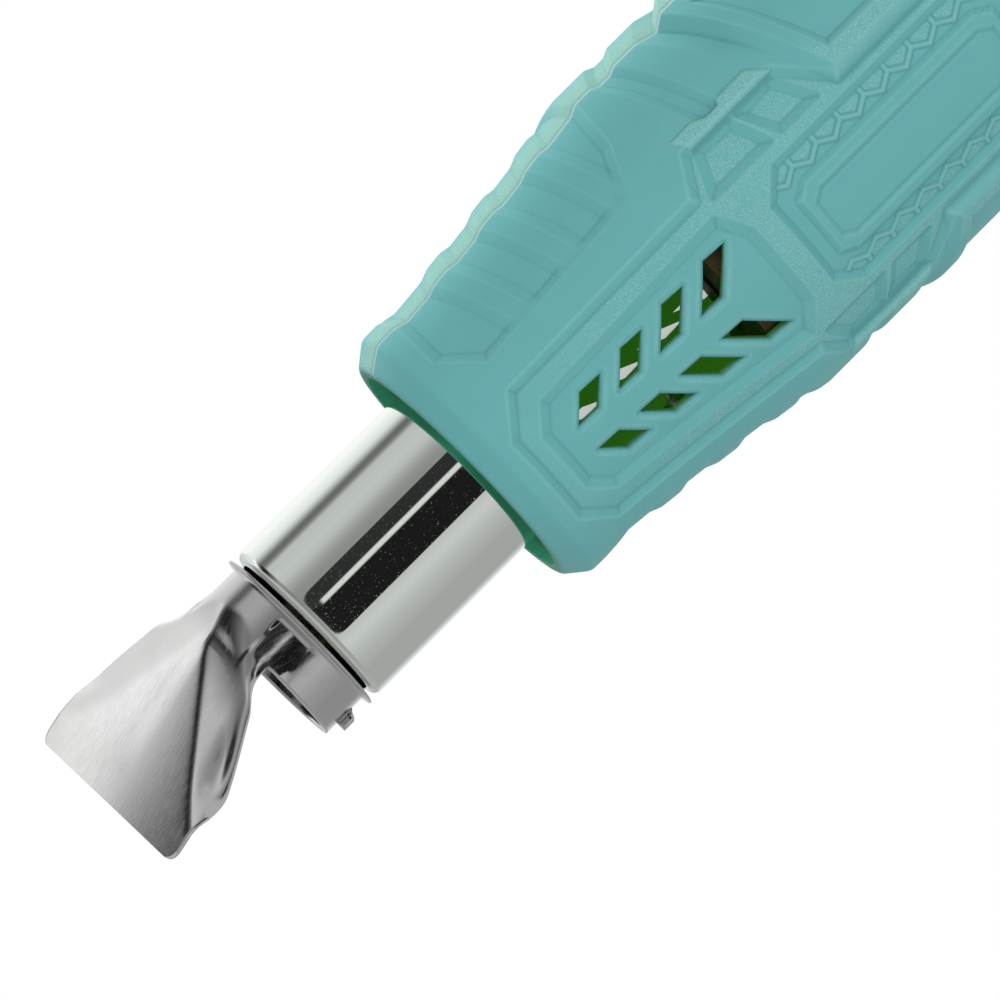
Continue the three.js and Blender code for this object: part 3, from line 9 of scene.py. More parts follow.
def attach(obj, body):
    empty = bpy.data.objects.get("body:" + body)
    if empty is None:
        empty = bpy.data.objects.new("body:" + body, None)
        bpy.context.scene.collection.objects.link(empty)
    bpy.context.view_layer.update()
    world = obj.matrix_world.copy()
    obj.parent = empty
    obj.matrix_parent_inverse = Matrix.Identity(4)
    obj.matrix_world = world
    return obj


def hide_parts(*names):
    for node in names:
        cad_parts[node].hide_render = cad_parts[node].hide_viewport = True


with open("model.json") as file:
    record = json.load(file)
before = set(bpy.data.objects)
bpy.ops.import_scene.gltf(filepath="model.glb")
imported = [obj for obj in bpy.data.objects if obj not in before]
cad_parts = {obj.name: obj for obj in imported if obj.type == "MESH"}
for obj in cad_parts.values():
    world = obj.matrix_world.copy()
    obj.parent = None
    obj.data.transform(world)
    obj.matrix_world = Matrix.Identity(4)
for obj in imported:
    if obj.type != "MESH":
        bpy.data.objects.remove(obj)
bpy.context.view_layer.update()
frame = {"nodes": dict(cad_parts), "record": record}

MM = 0.001

# Body sizes in millimetres: a depth is measured back from the nose plane, and an angle in degrees goes
# round the body from the middle of the front shell towards +X.
BODY_LENGTH = 172.0
NOSE_RIM_RADIUS = 24.2
NOSE_RADIUS = 27.3
NOSE_EDGE = 3.8
NOSE_ROUND = 0.35
NOSE_OPENING_RADIUS = 21.9
FLARE_START = 8.0
FLARE_POWER = 1.25
BARREL_RADIUS = 33.1
BARREL_START = 55.0
BARREL_END = 126.0
WAIST_RADIUS = 24.0
WAIST_DEPTH = 150.0
TAIL_RADIUS = 25.5
TAIL_EDGE = 2.0
WALL = 4.2
BASE_WALL = 3.0
SEAM_GAP = 0.05
SEAM_ROUND = 0.4
LABEL_BACK = 117.0

# Relief of the body: levels above and below the skin
LEDGE_LEVEL = -1.1
FIELD_LEVEL = -2.2
LABEL_RIM_LEVEL = -1.45
LABEL_LEVEL = -1.9
RIB_LEVEL = -0.3
RIB_VALLEY_LEVEL = -0.9
GROOVE_LEVEL = -0.8
STRIP_LEVEL = 0.35
POCKET_LEVEL = -2.0
PAD_GROOVE_DEPTH = 1.3
PAD_LEVEL = 0.88
PAD_FIELD_LEVEL = 0.1
GRIP_LEVEL = -0.6
COMB_HEIGHT = 0.4
VENT_LIP = 0.5

# Widths of the slopes between the levels
LEDGE_BEVEL = 1.7
VENT_FIELD_BEVEL = 2.0
LABEL_FIELD_BEVEL = 1.4
LABEL_RIM_BEVEL = 1.1
LABEL_FLOOR_BEVEL = 0.8
RIB_BEVEL = 2.0
GROOVE_BEVEL = 1.6
POCKET_BEVEL = 2.0
STRIP_BEVEL = 0.6
PAD_BEVEL = 2.6
PAD_FIELD_BEVEL = 1.2
GRIP_BEVEL = 0.8

# Grain of the plastic: its strength on the ledge at the nose, what it gains further back and between
# which depths, and how it ends on the strip, on the pad and on steep slopes
LEDGE_TONE = 0.3
LEDGE_TONE_GAIN = 0.55
LEDGE_TONE_DEPTHS = (12.0, 40.0)
STRIP_TONE = 1.5
STRIP_TONE_EDGE = 0.3
PAD_TONE_FADE = 8.0
GRAIN_SLOPES = (0.4, 0.1)

# Millimetres for each degree round the body, for distances on the unrolled skin
MM_PER_DEGREE = 0.555

# Vents: two rows of slanted slots
VENT_COUNT = 4
VENT_START = 16.8
VENT_PITCH = 8.95
VENT_WIDTH = 4.5
VENT_INNER = 3.0
VENT_OUTER = 7.6
VENT_OUTER_STEP = 0.9
VENT_SLANT = 0.85

# Barrel tube and nozzle: sizes, and places round them in degrees
TUBE_RADIUS = 16.5
TUBE_WALL = 0.8
TUBE_REACH = 36.9
TUBE_DEPTH = 50.0
TUBE_SHOULDER = 1.6
TUBE_SHOULDER_LENGTH = 1.6
MOUTH_RADIUS = 14.6
SHEET = 0.7
SPIGOT_RADIUS = 14.3
SPIGOT_LENGTH = 7.8
FLANGE_RADIUS = 16.75
FLANGE_GAP = 0.9
FLANGE_SHEET = 0.45
COLLAR_RADIUS = 15.1
COLLAR_LENGTH = 8.4
BLADE_AZIMUTH = 78.0
BLADE_HALF_ARC = 54.0
BLADE_LENGTH = 38.6
BLADE_OVERLAP = 4.6
BLADE_TIP_OFFSET = 4.4
BLADE_TIP_WIDTH = 48.4
BLADE_CORNER = 2.2
BLADE_CROWN = 0.85
WING_DROP = 3.5
CREASE_ROUND = 0.8
SOFT_CREASE_ROUND = 4.0
SOFT_WING_SHARE = 0.6
EAR_MIDDLE = 51.0
EAR_HALF_ARC = 12.0
EAR_START = 1.3
EAR_SINK = 0.4
EAR_RISE = 0.75
EAR_LEAD = 0.4
EAR_FADE = 4.0
EAR_SOFT_ARC = 3.0
TAB_AZIMUTH = -64.0
TAB_WIDTH = 2.6
TAB_HEIGHT = 3.5
TAB_STAND = 1.8
TAB_ROOT = SHEET * 0.6
TAB_RISE = 0.35
TAB_SIDE_DROP = 0.2
TAB_ROWS = 9


# Mesh helpers

def mesh_object(name, points, faces):
    """A smooth mesh object from points in millimetres."""
    mesh = bpy.data.meshes.new(name)
    mesh.from_pydata((np.asarray(points) * MM).tolist(), [], [list(f) for f in faces])
    mesh.polygons.foreach_set("use_smooth", [True] * len(mesh.polygons))
    mesh.validate()
    mesh.update()
    made = bpy.data.objects.new(name, mesh)
    bpy.context.scene.collection.objects.link(made)
    return made


def point_values(made, name, values):
    layer = made.data.attributes.new(name, "FLOAT", "POINT")
    layer.data.foreach_set("value", np.asarray(values, dtype=np.float32))


def two_sided(outer, inner, keep, wrap=False):
    """Points and faces of a closed sheet: two grids of points, with walls wherever the kept cells end."""
    rows, columns = outer.shape[:2]
    index = np.arange(rows * columns).reshape(rows, columns)
    lift = rows * columns
    cells = np.argwhere(keep)
    after = np.roll(index, -1, axis=1)
    i, j = cells[:, 0], cells[:, 1]
    a, b, c, d = index[i, j], after[i, j], after[i + 1, j], index[i + 1, j]
    faces = np.concatenate([
        np.stack([a, b, c, d], axis=1),
        np.stack([a + lift, d + lift, c + lift, b + lift], axis=1),
    ])
    padded = np.zeros((keep.shape[0] + 2, keep.shape[1] + 2), dtype=bool)
    padded[1:-1, 1:-1] = keep
    if wrap:
        padded[1:-1, 0] = keep[:, -1]
        padded[1:-1, -1] = keep[:, 0]
    walls = []
    for (di, dj), (p, q) in {(-1, 0): (b, a), (1, 0): (d, c), (0, -1): (a, d), (0, 1): (c, b)}.items():
        bare = ~padded[i + 1 + di, j + 1 + dj]
        walls.append(np.stack([p[bare], q[bare], q[bare] + lift, p[bare] + lift], axis=1))
    faces = np.concatenate([faces] + walls)
    points = np.concatenate([outer.reshape(-1, 3), inner.reshape(-1, 3)])
    used = np.unique(faces)
    renumber = np.full(len(points), -1)
    renumber[used] = np.arange(len(used))
    return points[used], renumber[faces], used


def ring_faces(rows, sides):
    """Faces of a ring whose rows of points close on themselves both ways."""
    index = np.arange(rows * sides).reshape(rows, sides)
    after, beyond = np.roll(index, -1, axis=1), np.roll(index, -1, axis=0)
    corners = [index, after, np.roll(beyond, -1, axis=1), beyond]
    return np.stack(corners, axis=-1).reshape(-1, 4)


def smoothstep(low, high, x):
    t = np.clip((x - low) / (high - low), 0.0, 1.0)
    return t * t * (3.0 - 2.0 * t)


def outline_distance(outline, u, v):
    """Signed distance from points to a closed outline, negative inside."""
    corners = np.asarray(outline, dtype=float)
    best = np.full(u.shape, np.inf)
    inside = np.zeros(u.shape, dtype=bool)
    for (u0, v0), (u1, v1) in zip(corners, np.roll(corners, -1, axis=0)):
        du, dv = u1 - u0, v1 - v0
        t = np.clip(((u - u0) * du + (v - v0) * dv) / (du * du + dv * dv), 0.0, 1.0)
        best = np.minimum(best, np.hypot(u - u0 - t * du, v - v0 - t * dv))
        crosses = (v0 > v) != (v1 > v)
        if dv != 0.0:
            inside ^= crosses & (u < u0 + (v - v0) * du / dv)
    return np.where(inside, -best, best)


def unrolled_distance(outline, depth, angle):
    """Signed distance in millimetres to an outline given by depth and angle."""
    scaled = [(d, a * MM_PER_DEGREE) for d, a in outline]
    return outline_distance(scaled, depth, angle * MM_PER_DEGREE)


# Body

def skin_radius(depth):
    depth = np.asarray(depth, dtype=float)
    chamfer = NOSE_RIM_RADIUS + (NOSE_RADIUS - NOSE_RIM_RADIUS) * depth / NOSE_EDGE
    nose = (chamfer + NOSE_RADIUS - np.hypot(chamfer - NOSE_RADIUS, NOSE_ROUND)) / 2.0
    nose = nose - NOSE_ROUND * np.clip(1.0 - depth / NOSE_ROUND, 0.0, 1.0) ** 2
    flare = np.clip((depth - FLARE_START) / (BARREL_START - FLARE_START), 0.0, 1.0)
    barrel = NOSE_RADIUS + (BARREL_RADIUS - NOSE_RADIUS) * flare ** FLARE_POWER
    taper = BARREL_RADIUS + (WAIST_RADIUS - BARREL_RADIUS) * smoothstep(BARREL_END, WAIST_DEPTH, depth)
    tail_depth = BODY_LENGTH - TAIL_EDGE
    tail = WAIST_RADIUS + (TAIL_RADIUS - WAIST_RADIUS) * smoothstep(WAIST_DEPTH, tail_depth, depth)
    edge = TAIL_RADIUS - TAIL_EDGE + np.sqrt(np.clip(TAIL_EDGE ** 2 - (depth - tail_depth) ** 2, 0.0, None))
    bands = [depth < FLARE_START, depth <= BARREL_END, depth <= WAIST_DEPTH, depth <= tail_depth]
    return np.select(bands, [nose, barrel, taper, tail], edge)


def symmetric(right):
    return right + [(depth, -angle) for depth, angle in reversed(right)]


# The shells meet at the seam, and outlines that reach it run on past it
SEAM_ANGLE = 90.0
PAST_SEAM = 95.0


def leaning_bar(start, width, lean, end):
    """Outline of a bar from the seam round to an angle, which leans back by a depth on the way."""
    back = start + width
    return [(start, PAST_SEAM), (back, PAST_SEAM), (back + lean, end), (start + lean, end)]


# Outlines of the relief, by depth and angle
LEDGE_FRONT = [(7.2, 19), (12.6, 33), (55.5, 33), (60, 45), (79.5, 45), (86.5, 30)]
LEDGE = symmetric(LEDGE_FRONT + [(LABEL_BACK + 1, 30)])
VENT_FIELD = symmetric([(11.7, 12.6), (15.3, 22), (55.7, 25), (58.6, 15)])
LABEL_FIELD = symmetric([(64.2, 15.7), (69, 24), (LABEL_BACK - 5, 24), (LABEL_BACK, 15.7)])
LABEL_RIM = symmetric([(67.9, 11), (70.8, 14.6), (LABEL_BACK - 6.7, 14.6), (LABEL_BACK - 3.7, 11)])
LABEL_FLOOR = symmetric([(69.8, 6.9), (72.2, 9.9), (LABEL_BACK - 8.1, 9.9), (LABEL_BACK - 5.5, 6.9)])
RIB_PANEL = [(9.3, PAST_SEAM), (8.2, 61.6), (13.9, 47.9), (47.9, 49.4), (52.4, 65.4), (54.9, PAST_SEAM)]
RIBS = [leaning_bar(start, 5.4, 4.8, 44) for start in (16.1, 28.2, 40.3)]
GROOVE = [(58.8, PAST_SEAM), (62.8, PAST_SEAM), (70, 47), (66.1, 47)]
STRIP = [(61.3, 45), (59.8, 49.8), (64.3, 50), (66.9, 48.3)]
STRIP += [(69.7, 48.3), (70.1, 49.7), (76.6, 49.9), (79.6, 45)]
POCKETS = [
    [(61.9, 43.6), (68.9, 42.6), (71.2, 30.2), (58.3, 30.2)],
    [(71, 42.6), (78.2, 43.8), (82, 30.2), (74.1, 30.2)],
]
PAD = [(73.7, PAST_SEAM), (86.9, 30), (112.5, 30), (123, PAST_SEAM)]
PAD_FIELD = [(80.9, 82), (89.5, 38), (107.7, 38), (115.3, 82)]
PAD_SIDE = 46.0
PAD_RAMP = 4.0
PAD_RAMP_START = 1.0
PAD_RAMP_FADE = 20.0
PAD_RAMP_BACK = LABEL_BACK - 20.0
GRIPS = [leaning_bar(start, 1.4, 0.0, 42) for start in (142.0, 145.0, 148.0, 151.0)]

# Vents, by place across and depth
VENTS = []
for number in range(VENT_COUNT):
    front = VENT_START + VENT_PITCH * number
    outer_edge = VENT_OUTER + VENT_OUTER_STEP * number
    back = front + VENT_SLANT * (outer_edge - VENT_INNER)
    VENTS.append([
        (VENT_INNER, front),
        (outer_edge, back),
        (outer_edge, back + VENT_WIDTH),
        (VENT_INNER, front + VENT_WIDTH),
    ])

# Zigzag ridge by the label: depths, angles and the shape of the ridge
COMB_FRONT = 57.0
COMB_START = 76.8
COMB_PITCH = 5.58
COMB_OUTER = 20.2
COMB_INNER = 17.0
COMB_SPUR = 22.6
COMB_HALF_WIDTH = 0.52
COMB_SLOPE = 0.24
COMB_FIELD_SHARE = 0.9


def comb_distance(depth, side):
    """Distance to the zigzag ridge by the label and its spurs, and the angle of the zigzag."""
    phase = (depth - COMB_START) / COMB_PITCH
    from_corner = np.abs((phase + 0.5) % 1.0 - 0.5)
    line = COMB_OUTER - (COMB_OUTER - COMB_INNER) * 2.0 * from_corner
    slope = (COMB_OUTER - COMB_INNER) * MM_PER_DEGREE / (COMB_PITCH / 2.0)
    zigzag = np.abs(side - line) * MM_PER_DEGREE / math.hypot(1.0, slope)
    past = np.maximum(np.maximum(COMB_OUTER - side, side - COMB_SPUR), 0.0) * MM_PER_DEGREE
    spur = np.hypot(from_corner * COMB_PITCH, past)
    return np.minimum(zigzag, spur), line


def relief(depth, angle):
    """Height of the skin over the plain body, its tone, 1 on the textured areas, and that of the strip."""
    side = np.abs(angle)
    height = np.zeros(depth.shape)

    def away(outline, folded):
        return unrolled_distance(outline, depth, side if folded else angle)

    def inside(outline, folded, bevel):
        return np.clip(0.5 - away(outline, folded) / bevel, 0.0, 1.0)

    def sink(outline, level, bevel, folded=False):
        nonlocal height
        share = inside(outline, folded, bevel)
        height = height + share * (np.minimum(height, level) - height)
        return share

    def lift(outline, level, bevel, folded=False):
        nonlocal height
        share = inside(outline, folded, bevel)
        height = height + share * (np.maximum(height, level) - height)
        return share

    # Ledge, vent field and label recess
    ledge_tone = LEDGE_TONE + LEDGE_TONE_GAIN * smoothstep(*LEDGE_TONE_DEPTHS, depth)
    tone = sink(LEDGE, LEDGE_LEVEL, LEDGE_BEVEL) * ledge_tone
    tone = tone * (1.0 - sink(VENT_FIELD, FIELD_LEVEL, VENT_FIELD_BEVEL))
    field = sink(LABEL_FIELD, FIELD_LEVEL, LABEL_FIELD_BEVEL)
    ridge, line = comb_distance(depth, side)
    comb = np.clip((COMB_HALF_WIDTH - ridge) / COMB_SLOPE, 0.0, 1.0)
    height = height + COMB_HEIGHT * smoothstep(COMB_FIELD_SHARE, 1.0, field) * comb
    tone = tone * (1.0 - field * (side < line))
    lift(LABEL_RIM, LABEL_RIM_LEVEL, LABEL_RIM_BEVEL)
    sink(LABEL_FLOOR, LABEL_LEVEL, LABEL_FLOOR_BEVEL)

    # Ribs, groove, pockets and strip
    bars = np.zeros(depth.shape)
    for rib in RIBS:
        bars = np.maximum(bars, inside(rib, True, RIB_BEVEL))
    panel = RIB_VALLEY_LEVEL + (RIB_LEVEL - RIB_VALLEY_LEVEL) * bars
    height = height + inside(RIB_PANEL, True, RIB_BEVEL) * panel
    sink(GROOVE, GROOVE_LEVEL, GROOVE_BEVEL, True)
    for pocket in POCKETS:
        sink(pocket, POCKET_LEVEL, POCKET_BEVEL, True)
    lift(STRIP, STRIP_LEVEL, STRIP_BEVEL, True)
    strip = inside(STRIP, True, STRIP_TONE_EDGE)

    # Side pad, with a ramp down to its front edge
    ramp = np.clip(1.0 - (away(PAD, True) - PAD_RAMP_START) / PAD_RAMP, 0.0, 1.0)
    ramp = ramp * smoothstep(PAD_SIDE, PAD_SIDE + PAD_RAMP_FADE, side) * (depth < PAD_RAMP_BACK)
    height = height - PAD_GROOVE_DEPTH * ramp
    pad_frame = lift(PAD, PAD_LEVEL, PAD_BEVEL, True)
    pad_frame = pad_frame * (1.0 - sink(PAD_FIELD, PAD_FIELD_LEVEL, PAD_FIELD_BEVEL, True))
    tone = np.maximum(tone, pad_frame * smoothstep(PAD_SIDE, PAD_SIDE - PAD_TONE_FADE, side))

    # Grip grooves and the rounded edge at the seam
    for grip in GRIPS:
        sink(grip, GRIP_LEVEL, GRIP_BEVEL, True)
    seam = np.clip(1.0 - np.radians(SEAM_ANGLE - side) * BARREL_RADIUS / SEAM_ROUND, 0.0, 1.0)
    height = height - SEAM_ROUND * (1.0 - np.sqrt(1.0 - seam ** 2))
    return height, tone, strip


def shell_points(depth, angle, radius, turn):
    """Points of a shell in the row frame; the rear shell is the front one turned half round."""
    x = radius * np.sin(np.radians(angle))
    y = np.minimum(-radius * np.cos(np.radians(angle)), -SEAM_GAP)
    flip = -1.0 if turn else 1.0
    return np.stack([flip * x, flip * y, BODY_LENGTH - depth], axis=-1)


# Holes through the shells: screws in the rear one, the switch in the front one, and in both the vents,
# the intake slots and the gland; places across and up, in millimetres
SCREW_HOLES = [(21.2, 137.0), (-21.2, 137.0), (17.5, 33.0), (-17.5, 33.0)]
COUNTERBORE = 2.9
SCREW_PASSAGE = 1.55
SCREW_BOSS = 4.1
SCREW_SEAT = 10.0
SEAT_FLOOR = 1.5
CUP_INSET = 1.2
CUP_CLEARANCE = 0.05
CUP_SIDES = 32
SWITCH_HEIGHT = 20.0
SWITCH_HALF_WIDTH = 7.8
SWITCH_HALF_HEIGHT = 10.8
GLAND_HEIGHT = 12.0
GLAND_RADIUS = 4.4
INTAKE_FRONT = 128
INTAKE_BACK = 139
INTAKE_HALF_ARC = 2
INTAKE_PITCH = 9.0
INTAKES = [INTAKE_PITCH * number for number in range(-3, 4)]
FACE_HALF_ARC = 60.0
NO_HOLE = 99.0


def hole_distance(depth, angle, points, turn):
    """Distance to the nearest hole through a shell, negative in a hole."""
    x, y, z = points[..., 0], points[..., 1], points[..., 2]
    across = np.abs(x)
    on_face = np.abs(angle) < FACE_HALF_ARC
    distance = np.full(depth.shape, NO_HOLE)
    for vent in VENTS:
        distance = np.minimum(distance, outline_distance(vent, across, depth))
    distance = np.where(on_face, distance, NO_HOLE)
    for middle in INTAKES:
        low, high = middle - INTAKE_HALF_ARC, middle + INTAKE_HALF_ARC
        slot = [(INTAKE_FRONT, low), (INTAKE_FRONT, high), (INTAKE_BACK, high), (INTAKE_BACK, low)]
        distance = np.minimum(distance, unrolled_distance(slot, depth, angle))
    gland = np.hypot(y, z - GLAND_HEIGHT) - GLAND_RADIUS
    distance = np.minimum(distance, np.where(x < 0.0, gland, NO_HOLE))
    if turn:
        for sx, sz in SCREW_HOLES:
            distance = np.minimum(distance, np.hypot(x - sx, z - sz) - COUNTERBORE)
    else:
        pocket = np.maximum(across - SWITCH_HALF_WIDTH, np.abs(z - SWITCH_HEIGHT) - SWITCH_HALF_HEIGHT)
        distance = np.minimum(distance, np.where(on_face, pocket, NO_HOLE))
    return distance


# Spacing of a shell's points, as shares of its step, and where it changes
RIM_DEPTHS = [0.0, 0.12, 0.35, 0.7]
RIM_END = 1.1
FINE_SHARE = 0.7
COARSE_SHARE = 2.0
TAPER_START = BARREL_END + 1.0
TAIL_EDGE_ROWS = 6
COMB_ARC_START = 13.0
COMB_ARC_END = 26.0


def shell_grid(step):
    """Depths and angles of a shell's points, closer together over the finest relief."""
    body = np.arange(RIM_END, COMB_FRONT, step)
    fine = np.arange(COMB_FRONT, LABEL_BACK, FINE_SHARE * step)
    rear = np.arange(LABEL_BACK, TAPER_START, step)
    taper = np.arange(TAPER_START, BODY_LENGTH - TAIL_EDGE, COARSE_SHARE * step)
    quarter = np.radians(np.linspace(0.0, 90.0, TAIL_EDGE_ROWS))
    edge = BODY_LENGTH - TAIL_EDGE + TAIL_EDGE * np.sin(quarter)
    depths = np.concatenate([RIM_DEPTHS, body, fine, rear, taper, edge])
    turn = step / MM_PER_DEGREE
    near = np.arange(0.0, COMB_ARC_START, turn)
    comb = np.arange(COMB_ARC_START, COMB_ARC_END, FINE_SHARE * turn)
    side = np.linspace(COMB_ARC_END, SEAM_ANGLE, int((SEAM_ANGLE - COMB_ARC_END) / turn))
    half = np.concatenate([near, comb, side])
    angles = np.concatenate([-half[:0:-1], half])
    return np.meshgrid(depths, angles, indexing="ij")


def blurred(field, reach):
    """Mean of a grid over a square of points."""
    rows, columns = field.shape
    padded = np.pad(field, reach, mode="edge")
    size = 2 * reach + 1
    total = sum(padded[i:i + rows, j:j + columns] for i in range(size) for j in range(size))
    return total / size ** 2


# Edges found in the relief, for a painted highlight on raised edges and painted shade at the foot of walls:
# points that each blur reaches, height of a full edge and share of the result
EDGE_BLURS = [(1, 0.06, 0.75), (4, 0.3, 0.25)]
LEAST_STEP = 0.05


def edge_light_and_shade(height):
    """Above 0 on raised edges, where a highlight is painted, below 0 at the foot of walls, where shade is
    painted.
    """
    value = np.zeros(height.shape)
    for reach, full, share in EDGE_BLURS:
        value += share * np.clip((height - blurred(height, reach)) / full, -1.0, 1.0)
    return value


def steepness(height, depth, angle):
    """Slope of the relief against the plain body."""
    along = np.gradient(height, axis=0) / np.maximum(np.gradient(depth, axis=0), LEAST_STEP)
    round_step = np.maximum(np.gradient(angle, axis=1), LEAST_STEP) * MM_PER_DEGREE
    return np.hypot(along, np.gradient(height, axis=1) / round_step)


# Moving points onto the edge of a hole: rounds, step for slopes and least slope squared
SNAP_ROUNDS = 3
SNAP_STEP = 0.05
SNAP_LEAST = 0.2


def snapped(depth, angle, turn):
    """Grid coordinates with the points beside a hole moved onto its edge, and which points stay."""
    def distance(d, a):
        return hole_distance(d, a, shell_points(d, a, skin_radius(d), turn), turn)

    stays = distance(depth, angle) >= 0.0
    gone = np.pad(~stays, 1)
    rows, columns = stays.shape
    beside = np.zeros(stays.shape, dtype=bool)
    for i in range(3):
        for j in range(3):
            beside |= gone[i:i + rows, j:j + columns]
    beside &= stays
    moved_depth, moved_angle = depth.copy(), angle.copy()
    for _ in range(SNAP_ROUNDS):
        away = distance(moved_depth, moved_angle)
        du = (distance(moved_depth + SNAP_STEP, moved_angle) - away) / SNAP_STEP
        dv = (distance(moved_depth, moved_angle + SNAP_STEP) - away) / (SNAP_STEP * MM_PER_DEGREE)
        size = np.maximum(du * du + dv * dv, SNAP_LEAST)
        moved_depth = np.where(beside, moved_depth - away * du / size, moved_depth)
        moved_angle = np.where(beside, moved_angle - away * dv / size / MM_PER_DEGREE, moved_angle)
    moved_angle = np.clip(moved_angle, -SEAM_ANGLE, SEAM_ANGLE)
    return moved_depth, moved_angle, stays


def seat_cup(x, z):
    """Points and faces of the sunk seat of a screw, which runs out into the wall of the rear shell."""
    turns = np.linspace(0.0, 2.0 * math.pi, CUP_SIDES, endpoint=False)

    def row(radius, level=None):
        across, along = x + radius * np.cos(turns), z + radius * np.sin(turns)
        wall = np.sqrt((skin_radius(BODY_LENGTH - along) - CUP_INSET) ** 2 - across ** 2)
        return np.stack([across, wall if level is None else np.full(turns.shape, level), along], axis=-1)

    bore, floor = COUNTERBORE - CUP_CLEARANCE, SCREW_SEAT - SEAT_FLOOR
    rows = [row(SCREW_BOSS), row(SCREW_BOSS, floor), row(SCREW_PASSAGE, floor)]
    rows += [row(SCREW_PASSAGE, SCREW_SEAT), row(bore, SCREW_SEAT), row(bore)]
    return np.concatenate(rows), ring_faces(len(rows), len(turns))


# Rings that close the tail, as shares of its edge, and where the shells' painted light starts and is full:
# millimetres from the seam for its painted highlight, degrees on the rear shell's flanks for their painted
# backlight, and depths in the mouth of the nose, where the painted shade inside gives way to teal
BASE_SHARES = np.linspace(1.0, 0.02, 6)[1:]
SEAM_HIGHLIGHT_WIDTHS = (0.5, 0.15)
BACKLIT_FLANK_ARC = (68.0, 84.0)
MOUTH_DEPTHS = (10.0, 1.0)


def shell(name, turn, step):
    depth, angle = shell_grid(step)
    depth, angle, stays = snapped(depth, angle, turn)
    height, tone, strip = relief(depth, angle)
    holes = hole_distance(depth, angle, shell_points(depth, angle, skin_radius(depth), turn), turn)
    height = height - VENT_LIP * np.clip(1.0 - holes, 0.0, 1.0) * (depth < COMB_FRONT)
    outer = shell_points(depth, angle, skin_radius(depth) + height, turn)
    least_radius = np.where(depth < BARREL_END, NOSE_OPENING_RADIUS, 0.0)
    inner_radius = np.maximum(least_radius, skin_radius(depth) - WALL)
    inner_depth = np.minimum(depth, BODY_LENGTH - BASE_WALL)
    inner = shell_points(inner_depth, angle, inner_radius, turn)
    outer_base = np.stack([outer[-1] * [k, k, 1.0] for k in BASE_SHARES])
    inner_base = np.stack([inner[-1] * [k, k, 1.0] for k in BASE_SHARES])
    flip = -1.0 if turn else 1.0
    for base in (outer_base, inner_base):
        base[..., 1] = flip * np.minimum(flip * base[..., 1], -SEAM_GAP)
    outer = np.concatenate([outer, outer_base])
    inner = np.concatenate([inner, inner_base])
    stays = np.concatenate([stays, np.ones((len(BASE_SHARES), stays.shape[1]), dtype=bool)])
    keep = stays[:-1, :-1] & stays[1:, :-1] & stays[:-1, 1:] & stays[1:, 1:]
    points, faces, used = two_sided(outer, inner, keep)
    points, faces = [points], [faces]
    for place in SCREW_HOLES if turn else []:
        cup_points, cup_faces = seat_cup(*place)
        faces.append(cup_faces + sum(len(group) for group in points))
        points.append(cup_points)
    points = np.concatenate(points)
    made = mesh_object(name, points, np.concatenate(faces))
    count = outer.shape[0] * outer.shape[1]
    side = np.abs(angle)
    # Painted highlight along the seam, the white line where the shells meet
    seam = smoothstep(*SEAM_HIGHLIGHT_WIDTHS, (SEAM_ANGLE - side) * MM_PER_DEGREE)
    # Paler flanks of the rear shell: a painted backlight through the plastic, where the grain also spreads
    backlit_flank = smoothstep(*BACKLIT_FLANK_ARC, side) if turn else np.zeros(angle.shape)
    inside = np.concatenate([np.zeros(count), np.ones(count)])
    mouth = np.concatenate([np.zeros(count), smoothstep(*MOUTH_DEPTHS, depth).reshape(-1)])
    tone = tone * smoothstep(*GRAIN_SLOPES, steepness(height, depth, angle))
    tone = np.maximum(np.maximum(tone, backlit_flank), STRIP_TONE * strip)
    # The edge layer holds the painted highlight and shade of edges, the seam layer the painted highlight
    # along the seam, and the flank layer the painted backlight on the rear shell's flanks
    layers = {"tone": tone, "edge": edge_light_and_shade(height), "seam": seam, "backlit_flank": backlit_flank}
    layers |= {"inside": inside, "mouth": mouth}
    for layer, values in layers.items():
        on_grid = np.zeros(2 * count)
        on_grid[:values.size] = values.reshape(-1)
        on_points = np.zeros(len(points))
        on_points[:len(used)] = on_grid[used]
        point_values(made, layer, on_points)
    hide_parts(name.replace("_skin", ""))
    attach(made, "housing")
    return made


# Barrel tube

def revolved(name, profile, sides):
    """A closed ring from a profile of radius and height that closes on itself."""
    turns = np.linspace(0.0, 2.0 * math.pi, sides, endpoint=False)
    points = [(r * math.cos(t), r * math.sin(t), z) for r, z in profile for t in turns]
    return mesh_object(name, points, ring_faces(len(profile), sides))


# Edge breaks and numbers of rows of the tube
TUBE_BREAK = 0.15
TUBE_LIP = 0.1
TUBE_SHOULDER_LEAD = 0.2
TUBE_ROWS = 24
SHOULDER_ROWS = 12
TUBE_SIDES = 128


